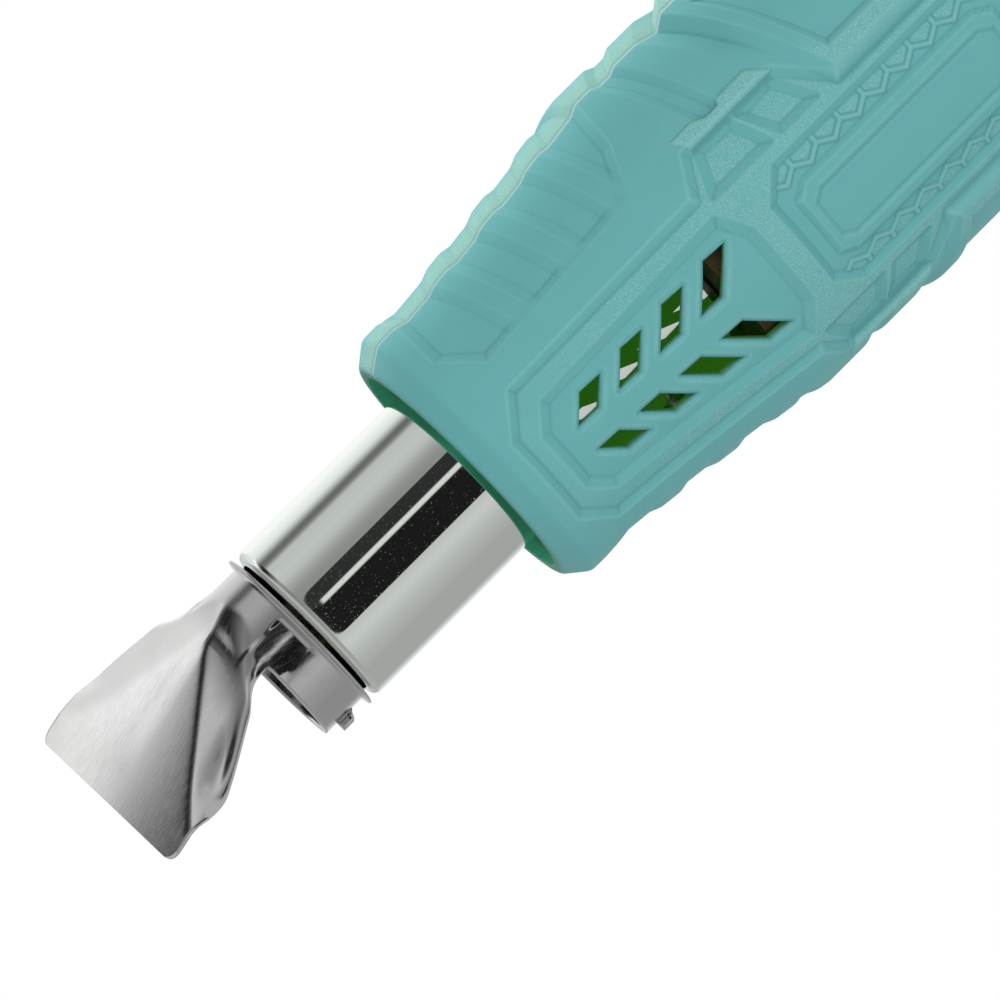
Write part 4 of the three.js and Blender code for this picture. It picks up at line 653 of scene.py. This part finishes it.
def barrel_tube():
    low, high = BODY_LENGTH - TUBE_DEPTH, BODY_LENGTH + TUBE_REACH
    bore = TUBE_RADIUS - TUBE_WALL
    profile = [(bore, low), (TUBE_RADIUS - TUBE_BREAK, low), (TUBE_RADIUS, low + TUBE_BREAK)]
    straight_end = high - TUBE_SHOULDER_LENGTH - TUBE_SHOULDER_LEAD
    profile += [(TUBE_RADIUS, z) for z in np.linspace(low + 2.0 * TUBE_BREAK, straight_end, TUBE_ROWS)]
    for turn in np.radians(np.linspace(0.0, 90.0, SHOULDER_ROWS)):
        across = TUBE_RADIUS - TUBE_SHOULDER * (1.0 - math.cos(turn))
        profile.append((across, high - TUBE_SHOULDER_LENGTH * (1.0 - math.sin(turn))))
    profile += [(MOUTH_RADIUS + TUBE_LIP, high), (MOUTH_RADIUS, high - TUBE_LIP)]
    profile += [(MOUTH_RADIUS, high - TUBE_WALL), (bore, high - 2.0 * TUBE_SHOULDER)]
    made = revolved("barrel_tube_skin", profile, TUBE_SIDES)
    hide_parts("barrel_tube")
    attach(made, "housing")
    return made


# Deflector nozzle

FLANGE_LOW = BODY_LENGTH + TUBE_REACH + FLANGE_GAP
FLANGE_HIGH = FLANGE_LOW + SHEET
COLLAR_HIGH = FLANGE_HIGH + COLLAR_LENGTH
BLADE_LOW = COLLAR_HIGH - BLADE_OVERLAP
COLLAR_SHARE = BLADE_OVERLAP / BLADE_LENGTH


# Where the forms of the blade start and end, as shares of its length
SPREAD_SHARES = (0.05, 0.75)
CREASE_START = 0.2
CREASE_LENGTH = 0.66
WING_END_SHARES = (0.62, 0.88)
LEAVE_SHARE = 0.2
CURL_START_SHARES = (0.2, 0.34)
CURL_END_SHARES = (0.84, 0.66)
DISH_SHARE = 0.52
DISH_HALF_SHARE = 0.13

# Sizes of the dish and the curl, the least width of a wing, and the half width, as a share of the
# blade's, over which the crisp near side changes to the soft far side
DISH_DEPTH = 0.7
DISH_INSET = 2.8
DISH_HALF_WIDTH = 1.6
CURL_DEPTH = 0.5
CURL_WIDTH = 1.4
LEAST_SPAN = 0.3
CHANGE_HALF = 0.15


def blade_points(share, across):
    """Points of the blade's outer face about the local +X axis, by share of its length and across."""
    arc = np.radians(BLADE_HALF_ARC) * across
    round_x, round_y = COLLAR_RADIUS * np.cos(arc), COLLAR_RADIUS * np.sin(arc)
    collar_half = COLLAR_RADIUS * math.sin(math.radians(BLADE_HALF_ARC))
    tip_half = BLADE_TIP_WIDTH / 2

    # Half width, which spreads from the collar and ends in round corners
    from_tip = np.clip((1.0 - share) * BLADE_LENGTH, 0.0, BLADE_CORNER)
    corner = BLADE_CORNER - np.sqrt(np.clip(BLADE_CORNER ** 2 - (BLADE_CORNER - from_tip) ** 2, 0.0, None))
    start, end = SPREAD_SHARES
    straight = np.clip((share - start) / (end - start), 0.0, 1.0)
    spread = 0.5 * smoothstep(start, end, share) + 0.5 * straight
    half = collar_half + (tip_half - collar_half) * spread - corner
    out = np.abs(across) * half
    inset = half - out

    # Wings folded back along two creases, crisp on the near side and soft on the far side
    crease = tip_half * np.clip((share - CREASE_START) / CREASE_LENGTH, 0.0, 1.0)
    crisp = smoothstep(CHANGE_HALF, -CHANGE_HALF, across)
    wing_share = SOFT_WING_SHARE + (1.0 - SOFT_WING_SHARE) * crisp
    drop = WING_DROP * (1.0 - smoothstep(*WING_END_SHARES, share)) * wing_share
    crease_round = SOFT_CREASE_ROUND + (CREASE_ROUND - SOFT_CREASE_ROUND) * crisp
    span = np.maximum(half - crease, LEAST_SPAN) + 0.5 * crease_round * (1.0 - crisp)
    past = out - crease
    fold = 0.5 * (past + np.sqrt(past ** 2 + crease_round ** 2))
    wing = np.where(crease < half, drop * fold / span, 0.0)

    # A pressed dish and a curled edge on the near side
    near = across < 0.0
    bowl = ((inset - DISH_INSET) / DISH_HALF_WIDTH) ** 2 + ((share - DISH_SHARE) / DISH_HALF_SHARE) ** 2
    dish = DISH_DEPTH * np.exp(-bowl) * near
    middle = smoothstep(*CURL_START_SHARES, share) * smoothstep(*CURL_END_SHARES, share) * near
    curl = CURL_DEPTH * np.clip(1.0 - inset / CURL_WIDTH, 0.0, 1.0) ** 2 * middle

    # The face leaves the round collar for the slanted sheet
    crown = BLADE_CROWN * (0.5 - (out / tip_half) ** 2)
    top = COLLAR_RADIUS + (BLADE_TIP_OFFSET - COLLAR_RADIUS) * share + crown
    blend = smoothstep(0.0, LEAVE_SHARE, share - COLLAR_SHARE * across ** 2)
    x = round_x + (top - wing - dish - curl - round_x) * blend
    y = round_y + (np.sign(across) * out - round_y) * blend
    return np.stack([x, y, BLADE_LOW + share * BLADE_LENGTH], axis=-1)


SLOPE_STEP = 0.004


def blade_normals(share, across):
    """Outward directions of the blade's face."""
    along = blade_points(np.minimum(share + SLOPE_STEP, 1.0), across)
    along = along - blade_points(share - SLOPE_STEP, across)
    side = blade_points(share, np.minimum(across + SLOPE_STEP, 1.0))
    side = side - blade_points(share, np.maximum(across - SLOPE_STEP, -1.0))
    normal = np.cross(side, along)
    return normal / np.linalg.norm(normal, axis=-1, keepdims=True)


def eared(points):
    """Sheet points with the ears pressed into the collar, which flare out to where the blade leaves it."""
    x, y, z = points[..., 0], points[..., 1], points[..., 2]
    off = np.abs(np.abs(np.degrees(np.arctan2(y, x))) - EAR_MIDDLE)
    start = FLANGE_HIGH + EAR_START
    flare = EAR_RISE * np.clip((z - start) / (COLLAR_HIGH - start), 0.0, 1.0) - EAR_SINK
    flare = flare * smoothstep(start - EAR_LEAD, start, z)
    flare = flare * smoothstep(COLLAR_HIGH + EAR_FADE, COLLAR_HIGH, z)
    flare = flare * smoothstep(EAR_HALF_ARC + EAR_SOFT_ARC, EAR_HALF_ARC, off)
    grow = 1.0 + flare / np.maximum(np.hypot(x, y), 1.0)
    return np.stack([x * grow, y * grow, z], axis=-1)


def tab():
    """Points and faces of the louvre tab on the collar, standing out towards the nozzle's tip."""
    steps = np.linspace(0.0, 1.0, TAB_ROWS), np.linspace(-1.0, 1.0, TAB_ROWS)
    along, across = np.meshgrid(*steps, indexing="ij")
    stand = TAB_STAND * smoothstep(0.0, TAB_RISE, along) * (1.0 - TAB_SIDE_DROP * across ** 6)
    z = FLANGE_HIGH + (COLLAR_LENGTH - TAB_HEIGHT) / 2.0 + TAB_HEIGHT * along
    y = TAB_WIDTH / 2.0 * across
    outer = np.stack([COLLAR_RADIUS + stand, y, z], axis=-1)
    inner = np.stack([np.full(y.shape, COLLAR_RADIUS - TAB_ROOT), y, z], axis=-1)
    points, faces, _ = two_sided(outer, inner, np.ones((TAB_ROWS - 1, TAB_ROWS - 1), dtype=bool))
    spin = Matrix.Rotation(math.radians(TAB_AZIMUTH - BLADE_AZIMUTH), 3, "Z")
    return points @ np.array(spin).T, faces


# Rows and columns of the nozzle's sheet. A row of the collar's foot says how far out it is, how far up,
# and how far out its inner side is; the last rows of the blade are shares of its corners
BLADE_COLUMNS = 96
COLLAR_COLUMNS = 96
FLANGE_ROWS = 7
COLLAR_FOOT = [(0.4, 0.02, 0.0), (0.1, 0.15, 0.4), (0.0, 0.5, 0.4)]
COLLAR_FOOT_HEIGHT = 1.0
COLLAR_ROWS = 15
OVERLAP_ROWS = 8
BLADE_ROWS = 48
CORNER_ROWS = np.array([0.8, 0.6, 0.42, 0.27, 0.15, 0.07, 0.02, 0.0])
# Heights over which the collar and flange turn darker, a painted dark reflection
DARK_REFLECTION_HEIGHTS = (COLLAR_HIGH + 5.0, COLLAR_HIGH - 2.0)


def nozzle_profile():
    """Rows of the spigot, flange and collar: outer radius and height, then inner radius and height."""
    inner_radius = SPIGOT_RADIUS - SHEET
    rows = [(SPIGOT_RADIUS, z, inner_radius, z) for z in (FLANGE_LOW - SPIGOT_LENGTH, FLANGE_LOW)]
    bulge = FLANGE_SHEET / 2
    for number, turn in enumerate(np.radians(np.linspace(-90.0, 90.0, FLANGE_ROWS))):
        out = FLANGE_RADIUS - bulge + bulge * math.cos(turn)
        level = FLANGE_LOW + FLANGE_SHEET * (number + 0.5) / FLANGE_ROWS
        rows.append((out, FLANGE_LOW + bulge + bulge * math.sin(turn), inner_radius, level))
    foot = FLANGE_LOW + FLANGE_SHEET
    for out, up, inner_out in COLLAR_FOOT:
        rows.append((COLLAR_RADIUS + out, foot + up, inner_radius + inner_out, foot + up))
    for z in np.linspace(foot + COLLAR_FOOT_HEIGHT, BLADE_LOW, COLLAR_ROWS):
        rows.append((COLLAR_RADIUS, z, COLLAR_RADIUS - SHEET, z))
    return rows


def blade_shares():
    """Rows of the blade as shares of its length: over the collar, along the sheet, round the corners."""
    corner_share = BLADE_CORNER / BLADE_LENGTH
    return np.concatenate([
        np.linspace(0.0, COLLAR_SHARE, OVERLAP_ROWS + 1)[1:],
        np.linspace(COLLAR_SHARE, 1.0 - corner_share, BLADE_ROWS)[1:],
        1.0 - corner_share * CORNER_ROWS,
    ])


def nozzle():
    turns = np.concatenate([
        np.linspace(-BLADE_HALF_ARC, BLADE_HALF_ARC, BLADE_COLUMNS, endpoint=False),
        np.linspace(BLADE_HALF_ARC, 360.0 - BLADE_HALF_ARC, COLLAR_COLUMNS, endpoint=False),
    ])
    cos, sin = np.cos(np.radians(turns)), np.sin(np.radians(turns))

    def ring(radius, z):
        return np.stack([radius * cos, radius * sin, np.full(turns.shape, z)], axis=-1)

    profile = nozzle_profile()
    outer = [ring(radius, z) for radius, z, _, _ in profile]
    inner = [ring(radius, z) for _, _, radius, z in profile]
    on_blade = (np.abs(turns / BLADE_HALF_ARC) <= 1.0)[:, None]
    across = np.clip(turns / BLADE_HALF_ARC, -1.0, 1.0)
    for share in blade_shares():
        shares = np.full(turns.shape, share)
        face = blade_points(shares, across)
        back = face - SHEET * blade_normals(shares, across)
        z = BLADE_LOW + share * BLADE_LENGTH
        outer.append(np.where(on_blade, face, ring(COLLAR_RADIUS, z)))
        inner.append(np.where(on_blade, back, ring(COLLAR_RADIUS - SHEET, z)))
    outer, inner = eared(np.stack(outer)), eared(np.stack(inner))
    keep = np.ones((outer.shape[0] - 1, len(turns)), dtype=bool)
    keep[len(profile) + OVERLAP_ROWS - 1:, BLADE_COLUMNS:] = False
    sheet_points, sheet_faces, _ = two_sided(outer, inner, keep, wrap=True)
    tab_points, tab_faces = tab()
    points = np.concatenate([sheet_points, tab_points])
    faces = np.concatenate([sheet_faces, tab_faces + len(sheet_points)])
    made = mesh_object("deflector_nozzle_skin", points, faces)
    made.data.transform(Matrix.Rotation(math.radians(BLADE_AZIMUTH - 90.0), 4, "Z"))
    # The collar and flange are darker: a painted dark reflection
    point_values(made, "dark_collar_reflection", smoothstep(*DARK_REFLECTION_HEIGHTS, points[:, 2]))
    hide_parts("deflector_nozzle")
    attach(made, "nozzle")
    return made


# Materials

def linear(red, green, blue):
    """A colour given as it looks on screen, 0 to 255."""
    def channel(value):
        share = value / 255.0
        return share / 12.92 if share <= 0.04045 else ((share + 0.055) / 1.055) ** 2.4
    return (channel(red), channel(green), channel(blue), 1.0)


class Shader:
    """A node material built round one principled shader."""

    def __init__(self, name, color, roughness, metallic=0.0):
        self.material = bpy.data.materials.new(name)
        self.material.use_nodes = True
        self.tree = self.material.node_tree
        self.base = self.tree.nodes["Principled BSDF"]
        self.base.inputs["Base Color"].default_value = color
        self.base.inputs["Roughness"].default_value = roughness
        self.base.inputs["Metallic"].default_value = metallic
        self.where = self.tree.nodes.new("ShaderNodeTexCoord")

    def noise(self, scale, detail=4.0, stretch=(1.0, 1.0, 1.0)):
        mapping = self.tree.nodes.new("ShaderNodeMapping")
        mapping.inputs["Scale"].default_value = stretch
        self.tree.links.new(self.where.outputs["Object"], mapping.inputs["Vector"])
        made = self.tree.nodes.new("ShaderNodeTexNoise")
        made.inputs["Scale"].default_value = scale
        made.inputs["Detail"].default_value = detail
        self.tree.links.new(mapping.outputs["Vector"], made.inputs["Vector"])
        return made.outputs["Fac"]

    def value(self, name):
        made = self.tree.nodes.new("ShaderNodeAttribute")
        made.attribute_name = name
        return made.outputs["Fac"]

    def spread(self, source, low, high, to_low=0.0, to_high=1.0):
        made = self.tree.nodes.new("ShaderNodeMapRange")
        made.inputs["From Min"].default_value = low
        made.inputs["From Max"].default_value = high
        made.inputs["To Min"].default_value = to_low
        made.inputs["To Max"].default_value = to_high
        self.tree.links.new(source, made.inputs["Value"])
        return made.outputs["Result"]

    def mixed(self, share, first, second):
        made = self.tree.nodes.new("ShaderNodeMix")
        made.data_type = "RGBA"
        for socket, colour in ((made.inputs[6], first), (made.inputs[7], second)):
            if isinstance(colour, bpy.types.NodeSocket):
                self.tree.links.new(colour, socket)
            else:
                socket.default_value = colour
        self.tree.links.new(share, made.inputs[0])
        return made.outputs[2]

    def speckle(self, where):
        """Fine grain, shown only where a value says so."""
        grain = self.spread(self.noise(5400.0, 1.0), 0.46, 0.62, 0.0, 0.9)
        made = self.tree.nodes.new("ShaderNodeMath")
        made.operation = "MULTIPLY"
        self.tree.links.new(grain, made.inputs[0])
        self.tree.links.new(where, made.inputs[1])
        return made.outputs["Value"]

    def glow(self, color, strength):
        """Light that comes through a thin wall."""
        self.tree.links.new(color, self.base.inputs["Emission Color"])
        self.tree.links.new(strength, self.base.inputs["Emission Strength"])

    def color(self, source):
        self.tree.links.new(source, self.base.inputs["Base Color"])

    def roughness(self, source):
        self.tree.links.new(source, self.base.inputs["Roughness"])

    def bump(self, source, strength, distance):
        """Bumps on top of those already there."""
        made = self.tree.nodes.new("ShaderNodeBump")
        for link in self.base.inputs["Normal"].links:
            self.tree.links.new(link.from_socket, made.inputs["Normal"])
        made.inputs["Strength"].default_value = strength
        made.inputs["Distance"].default_value = distance
        self.tree.links.new(source, made.inputs["Height"])
        self.tree.links.new(made.outputs["Normal"], self.base.inputs["Normal"])


def plain(name, color, roughness, metallic, grain, depth, wear=0.25):
    """A finish with grain, and with a little difference of tone and gloss over it."""
    made = Shader(name, color, roughness, metallic)
    darker = tuple(c * (1.0 - wear) for c in color[:3]) + (1.0,)
    made.color(made.mixed(made.spread(made.noise(grain / 4), 0.35, 0.75), color, darker))
    made.roughness(made.spread(made.noise(grain), 0.3, 0.7, roughness * 0.8, min(1.0, roughness * 1.25)))
    made.bump(made.noise(grain), 0.3, depth)
    return made.material


def shell_material():
    made = Shader("moulded_teal", linear(100, 168, 172), 0.5)
    made.base.inputs["Specular IOR Level"].default_value = 0.2
    body, pale, shade = linear(107, 178, 179), linear(146, 204, 201), linear(92, 156, 162)
    # Colours of the painted highlight on raised edges and of the painted shade at the foot of walls
    edge_highlight, wall_foot_shade = linear(150, 206, 202), linear(70, 128, 136)
    # Colours of the painted backlight on the rear shell's flanks and of the painted highlight along the
    # seam
    backlit_flank, seam = linear(170, 208, 186), linear(224, 240, 240)
    # Colours of the painted shade inside, darker green and olive than the plastic, and teal at the mouth
    green, olive, mouth_teal = linear(44, 120, 44), linear(104, 124, 60), linear(60, 150, 122)
    glow_green, glow_teal = linear(48, 112, 22), linear(34, 96, 70)

    # Outer skin: grain, blotches, a painted highlight on raised edges, painted shade at the foot of walls,
    # painted backlight on the rear shell's flanks and a painted highlight along the seam
    grain = made.speckle(made.value("tone"))
    skin = made.mixed(grain, body, pale)
    skin = made.mixed(made.spread(made.noise(160.0), 0.35, 0.7, 0.0, 0.10), skin, shade)
    edge = made.value("edge")
    # Painted highlight: paler on raised edges; painted shade: darker at the foot of walls
    skin = made.mixed(made.spread(edge, 0.1, 0.9, 0.0, 0.32), skin, edge_highlight)
    skin = made.mixed(made.spread(edge, -0.1, -0.9, 0.0, 0.4), skin, wall_foot_shade)
    # Painted backlight: paler on the rear shell's flanks
    skin = made.mixed(made.spread(made.value("backlit_flank"), 0.0, 1.0, 0.0, 0.4), skin, backlit_flank)
    # Painted highlight along the seam
    skin = made.mixed(made.spread(made.value("seam"), 0.0, 1.0, 0.0, 0.9), skin, seam)

    # Inside faces: painted shade, a darker green and olive than the plastic, going to teal at the mouth,
    # and a painted glow of the light through the wall
    mouth, inside = made.value("mouth"), made.value("inside")
    painted_inside_tint = made.mixed(made.spread(made.noise(240.0), 0.35, 0.65), green, olive)
    painted_inside_tint = made.mixed(mouth, painted_inside_tint, mouth_teal)
    made.color(made.mixed(inside, skin, painted_inside_tint))
    made.glow(made.mixed(mouth, glow_green, glow_teal), made.spread(inside, 0.3, 1.0, 0.0, 0.5))

    made.roughness(made.spread(made.noise(2200.0), 0.3, 0.7, 0.48, 0.62))
    made.bump(made.noise(2600.0, 2.0), 0.18, 0.00012)
    made.bump(grain, 0.35, 0.00012)
    return made.material


def chrome_material():
    made = Shader("polished_chrome", (0.81, 0.86, 0.81, 1.0), 0.03, 1.0)
    made.roughness(made.spread(made.noise(3400.0, 2.0), 0.65, 0.75, 0.012, 0.3))
    made.bump(made.noise(60.0, 2.0), 0.03, 0.0001)
    return made.material


def stainless_material():
    made = Shader("pressed_stainless", (0.78, 0.78, 0.78, 1.0), 0.18, 1.0)
    scratch = made.noise(420.0, 6.0, (1.0, 9.0, 1.0))
    made.roughness(made.spread(scratch, 0.35, 0.75, 0.08, 0.22))
    clean, worn = (0.8, 0.8, 0.8, 1.0), (0.7, 0.7, 0.69, 1.0)
    sheet = made.mixed(made.spread(made.noise(55.0), 0.35, 0.7), clean, worn)
    # Darker on the collar and flange: a painted dark reflection
    made.color(made.mixed(made.value("dark_collar_reflection"), sheet, (0.56, 0.56, 0.57, 1.0)))
    made.bump(scratch, 0.1, 0.00005)
    return made.material


FINISHES = {
    "steel": plain("plain_steel", (0.46, 0.47, 0.48, 1.0), 0.34, 1.0, 500.0, 0.00005),
    "phenolic": plain("brown_phenolic", linear(62, 46, 20), 0.6, 0.0, 700.0, 0.0002),
    "mica": plain("mica_sheet", linear(186, 170, 138), 0.55, 0.0, 900.0, 0.0002),
    "nichrome": plain("dark_nichrome", (0.2, 0.18, 0.17, 1.0), 0.45, 1.0, 800.0, 0.00005),
    "black": plain("black_plastic", linear(30, 31, 33), 0.5, 0.0, 1800.0, 0.0001),
    "brass": plain("brass", (0.55, 0.37, 0.12, 1.0), 0.3, 1.0, 600.0, 0.00005),
    "ferrite": plain("ferrite", linear(58, 58, 62), 0.75, 0.0, 1200.0, 0.0002),
    "fan": plain("natural_plastic", linear(226, 224, 214), 0.5, 0.0, 900.0, 0.0001, 0.1),
    "copper": plain("lacquered_copper", (0.5, 0.2, 0.09, 1.0), 0.34, 1.0, 700.0, 0.0001),
    "board": plain("solder_mask", linear(44, 104, 60), 0.35, 0.0, 800.0, 0.0001),
    "capacitor": plain("yellow_case", linear(200, 160, 48), 0.4, 0.0, 800.0, 0.0001),
}

# Steps of the shells' points, and the bevel on the solids that show as they are
FRONT_STEP = 0.36
REAR_STEP = 0.5
BEVEL_WIDTH = 0.0001
BEVEL_ANGLE = math.radians(40.0)

teal = shell_material()
for skin in (shell("front_shell_skin", False, FRONT_STEP), shell("rear_shell_skin", True, REAR_STEP)):
    skin.data.materials.append(teal)
barrel_tube().data.materials.append(chrome_material())
nozzle().data.materials.append(stainless_material())

replaced = {"front_shell", "rear_shell", "barrel_tube", "deflector_nozzle"}
for part in frame["record"]["subparts"]:
    if part["node"] in replaced:
        continue
    node = frame["nodes"][part["node"]]
    node.data.materials.clear()
    node.data.materials.append(FINISHES[part["material_slot"]])
    bevel = node.modifiers.new("edges", "BEVEL")
    bevel.width = BEVEL_WIDTH
    bevel.segments = 2
    bevel.limit_method = "ANGLE"
    bevel.angle_limit = BEVEL_ANGLE


# Camera: it looks across the tool from 26 degrees round, a little from the nozzle's end, rolled so that
# the nozzle points to the lower left. Sizes are in metres.
VIEW_AZIMUTH = math.radians(26.0)
VIEW_TILT = math.radians(5.4)
VIEW_DISTANCE = 1.08
VIEW_HEIGHT = 0.1707
VIEW_SHIFT = 0.008
FIELD_WIDTH = 0.1675
SENSOR_WIDTH = 36.0

up_axis = Vector((0.0, 0.0, 1.0))
outward = Vector((math.sin(VIEW_AZIMUTH), -math.cos(VIEW_AZIMUTH), 0.0))
sideways = Vector((-math.cos(VIEW_AZIMUTH), -math.sin(VIEW_AZIMUTH), 0.0))
to_camera = outward * math.cos(VIEW_TILT) + up_axis * math.sin(VIEW_TILT)
to_tail = outward * math.sin(VIEW_TILT) - up_axis * math.cos(VIEW_TILT)
right = (to_tail + sideways).normalized()
above = (to_tail - sideways).normalized()
target = Vector((0.0, 0.0, VIEW_HEIGHT)) + sideways * VIEW_SHIFT

lens = bpy.data.cameras.new("camera")
lens.sensor_width = SENSOR_WIDTH
lens.lens = SENSOR_WIDTH * VIEW_DISTANCE / FIELD_WIDTH
lens.clip_start = 0.05
lens.clip_end = 20.0
camera = bpy.data.objects.new("camera", lens)
bpy.context.scene.collection.objects.link(camera)
pose = Matrix((right, above, to_camera)).transposed().to_4x4()
pose.translation = target + to_camera * VIEW_DISTANCE
camera.matrix_world = pose
scene = bpy.context.scene
scene.camera = camera
scene.view_settings.view_transform = "Standard"


# Studio: a white surround, soft lamps, a pale round table, and a drum that only reflections see

def lamp(name, direction, distance, size, power):
    data = bpy.data.lights.new(name, "AREA")
    data.shape = "DISK"
    data.size = size
    data.energy = power
    made = bpy.data.objects.new(name, data)
    made.location = target + direction.normalized() * distance
    made.rotation_euler = direction.to_track_quat("Z", "Y").to_euler()
    made.visible_glossy = False
    scene.collection.objects.link(made)


lamp("key", to_camera * 0.9 + above * 0.4 - right * 0.35, distance=1.1, size=0.7, power=3.5)
lamp("fill", to_camera * 0.8 - above * 0.5 + right * 0.6, distance=1.2, size=0.9, power=3.9)
lamp("rim", outward * -0.9 - sideways, distance=0.9, size=0.5, power=8.0)

# The drum's brightness by degrees round from the camera, in a low band for the upright metal and a high
# band for the slanted blade. On the low band stands a dark card with a bright line. Heights are in metres.
DRUM_RADIUS = 1.25
DRUM_SIDES = 720
DRUM_HEIGHTS = [-0.4, *np.linspace(0.12, 0.135, 25), 0.2, 0.35, 1.0]
HIGH_BAND_START = 0.3
LOW_BAND = [
    (-180, 0.95), (-160, 0.8), (-140, 0.42), (-97, 0.43), (-72, 0.52), (-50, 0.67), (-37, 0.6),
    (-20, 0.4), (20, 0.3), (35, 0.31), (45, 0.41), (56, 0.58), (66, 0.63), (84, 0.58), (90, 0.24),
    (95, 0.15), (100, 0.2), (106, 0.5), (114, 0.85), (122, 0.95), (145, 1.1), (180, 0.95),
]
HIGH_BAND = [
    (-180, 0.5), (-60, 0.4), (0, 0.3), (40, 0.25), (60, 0.32), (75, 0.14), (86, 0.02), (96, 0.03),
    (100, 0.14), (103, 0.26), (106, 0.5), (109, 0.86), (111, 1.1), (114, 1.1), (118, 0.9),
    (150, 0.78), (180, 0.5),
]
DARK_CARD = [(-36, 0.012), (6.4, 0.012), (7.6, 0.03), (27, 0.03)]
CARD_LINE = [(2.6, 0.0), (4.6, 0.75), (8.4, 0.75), (10.4, 0.0)]
LINE_TOP = 0.1265
CARD_TOP = 0.1318
CARD_CORNER = (13.0, 0.0048)
CARD_SOFT = 0.7
CARD_TOP_SOFT = 0.0005


def carded(levels, turns, z):
    """Brightness round the drum at a height, with a dark card that ends in round corners."""
    width, drop = CARD_CORNER
    inset = np.minimum(turns - DARK_CARD[0][0], DARK_CARD[-1][0] - turns)
    past = np.clip(1.0 - inset / width, 0.0, 1.0)
    top = CARD_TOP - drop * (1.0 - np.sqrt(1.0 - past ** 2))
    share = np.clip(inset / CARD_SOFT + 0.5, 0.0, 1.0) * smoothstep(CARD_TOP_SOFT, -CARD_TOP_SOFT, z - top)
    line = np.interp(turns, *zip(*CARD_LINE)) * smoothstep(CARD_TOP_SOFT, -CARD_TOP_SOFT, z - LINE_TOP)
    return levels + share * (np.interp(turns, *zip(*DARK_CARD)) + line - levels)


def drum():
    """The drum that only reflections see."""
    turns = np.linspace(-180.0, 180.0, DRUM_SIDES + 1)
    low = np.interp(turns, *zip(*LOW_BAND))
    high = np.interp(turns, *zip(*HIGH_BAND))
    levels = [high if z > HIGH_BAND_START else carded(low, turns, z) for z in DRUM_HEIGHTS]
    around = VIEW_AZIMUTH + np.radians(turns)
    x, y = DRUM_RADIUS * np.sin(around), -DRUM_RADIUS * np.cos(around)
    rows = [np.stack([x, y, np.full(turns.shape, z)], axis=-1) for z in DRUM_HEIGHTS]
    count = len(turns)
    faces = []
    for i in range(len(DRUM_HEIGHTS) - 1):
        starts = range(i * count, i * count + count - 1)
        faces += [(a, a + 1, a + count + 1, a + count) for a in starts]
    made = mesh_object("drum", np.concatenate(rows) / MM, faces)
    point_values(made, "level", np.concatenate(levels))
    glow = bpy.data.materials.new("drum")
    glow.use_nodes = True
    glow.node_tree.nodes.remove(glow.node_tree.nodes["Principled BSDF"])
    level = glow.node_tree.nodes.new("ShaderNodeAttribute")
    level.attribute_name = "level"
    emission = glow.node_tree.nodes.new("ShaderNodeEmission")
    surface = glow.node_tree.nodes["Material Output"].inputs["Surface"]
    glow.node_tree.links.new(level.outputs["Fac"], emission.inputs["Strength"])
    glow.node_tree.links.new(emission.outputs["Emission"], surface)
    made.data.materials.append(glow)
    made.visible_camera = False
    made.visible_diffuse = False
    made.visible_shadow = False
    made.visible_transmission = False


drum()

SURROUND_STRENGTH = 0.5
world = bpy.data.worlds.new("studio")
scene.world = world
world.use_nodes = True
nodes, links = world.node_tree.nodes, world.node_tree.links
surround = nodes["Background"]
surround.inputs["Color"].default_value = (1.0, 1.0, 1.0, 1.0)
surround.inputs["Strength"].default_value = SURROUND_STRENGTH
white = nodes.new("ShaderNodeBackground")
white.inputs["Color"].default_value = (1.0, 1.0, 1.0, 1.0)
white.inputs["Strength"].default_value = 1.0
rays = nodes.new("ShaderNodeLightPath")
choose = nodes.new("ShaderNodeMixShader")
links.new(rays.outputs["Is Camera Ray"], choose.inputs["Fac"])
links.new(surround.outputs["Background"], choose.inputs[1])
links.new(white.outputs["Background"], choose.inputs[2])
links.new(choose.outputs["Shader"], nodes["World Output"].inputs["Surface"])

# Table, in millimetres, just under the tool
TABLE_RADIUS = 200.0
TABLE_DROP = 0.05
TABLE_SIDES = 96
table_turns = np.linspace(0.0, 2.0 * math.pi, TABLE_SIDES, endpoint=False)
rim = [(TABLE_RADIUS * math.cos(t), TABLE_RADIUS * math.sin(t), -TABLE_DROP) for t in table_turns]
table = mesh_object("table", rim, [range(len(rim))])
table.data.materials.append(plain("pale_table", (0.85, 0.85, 0.84, 1.0), 0.7, 0.0, 40.0, 0.0001, 0.04))
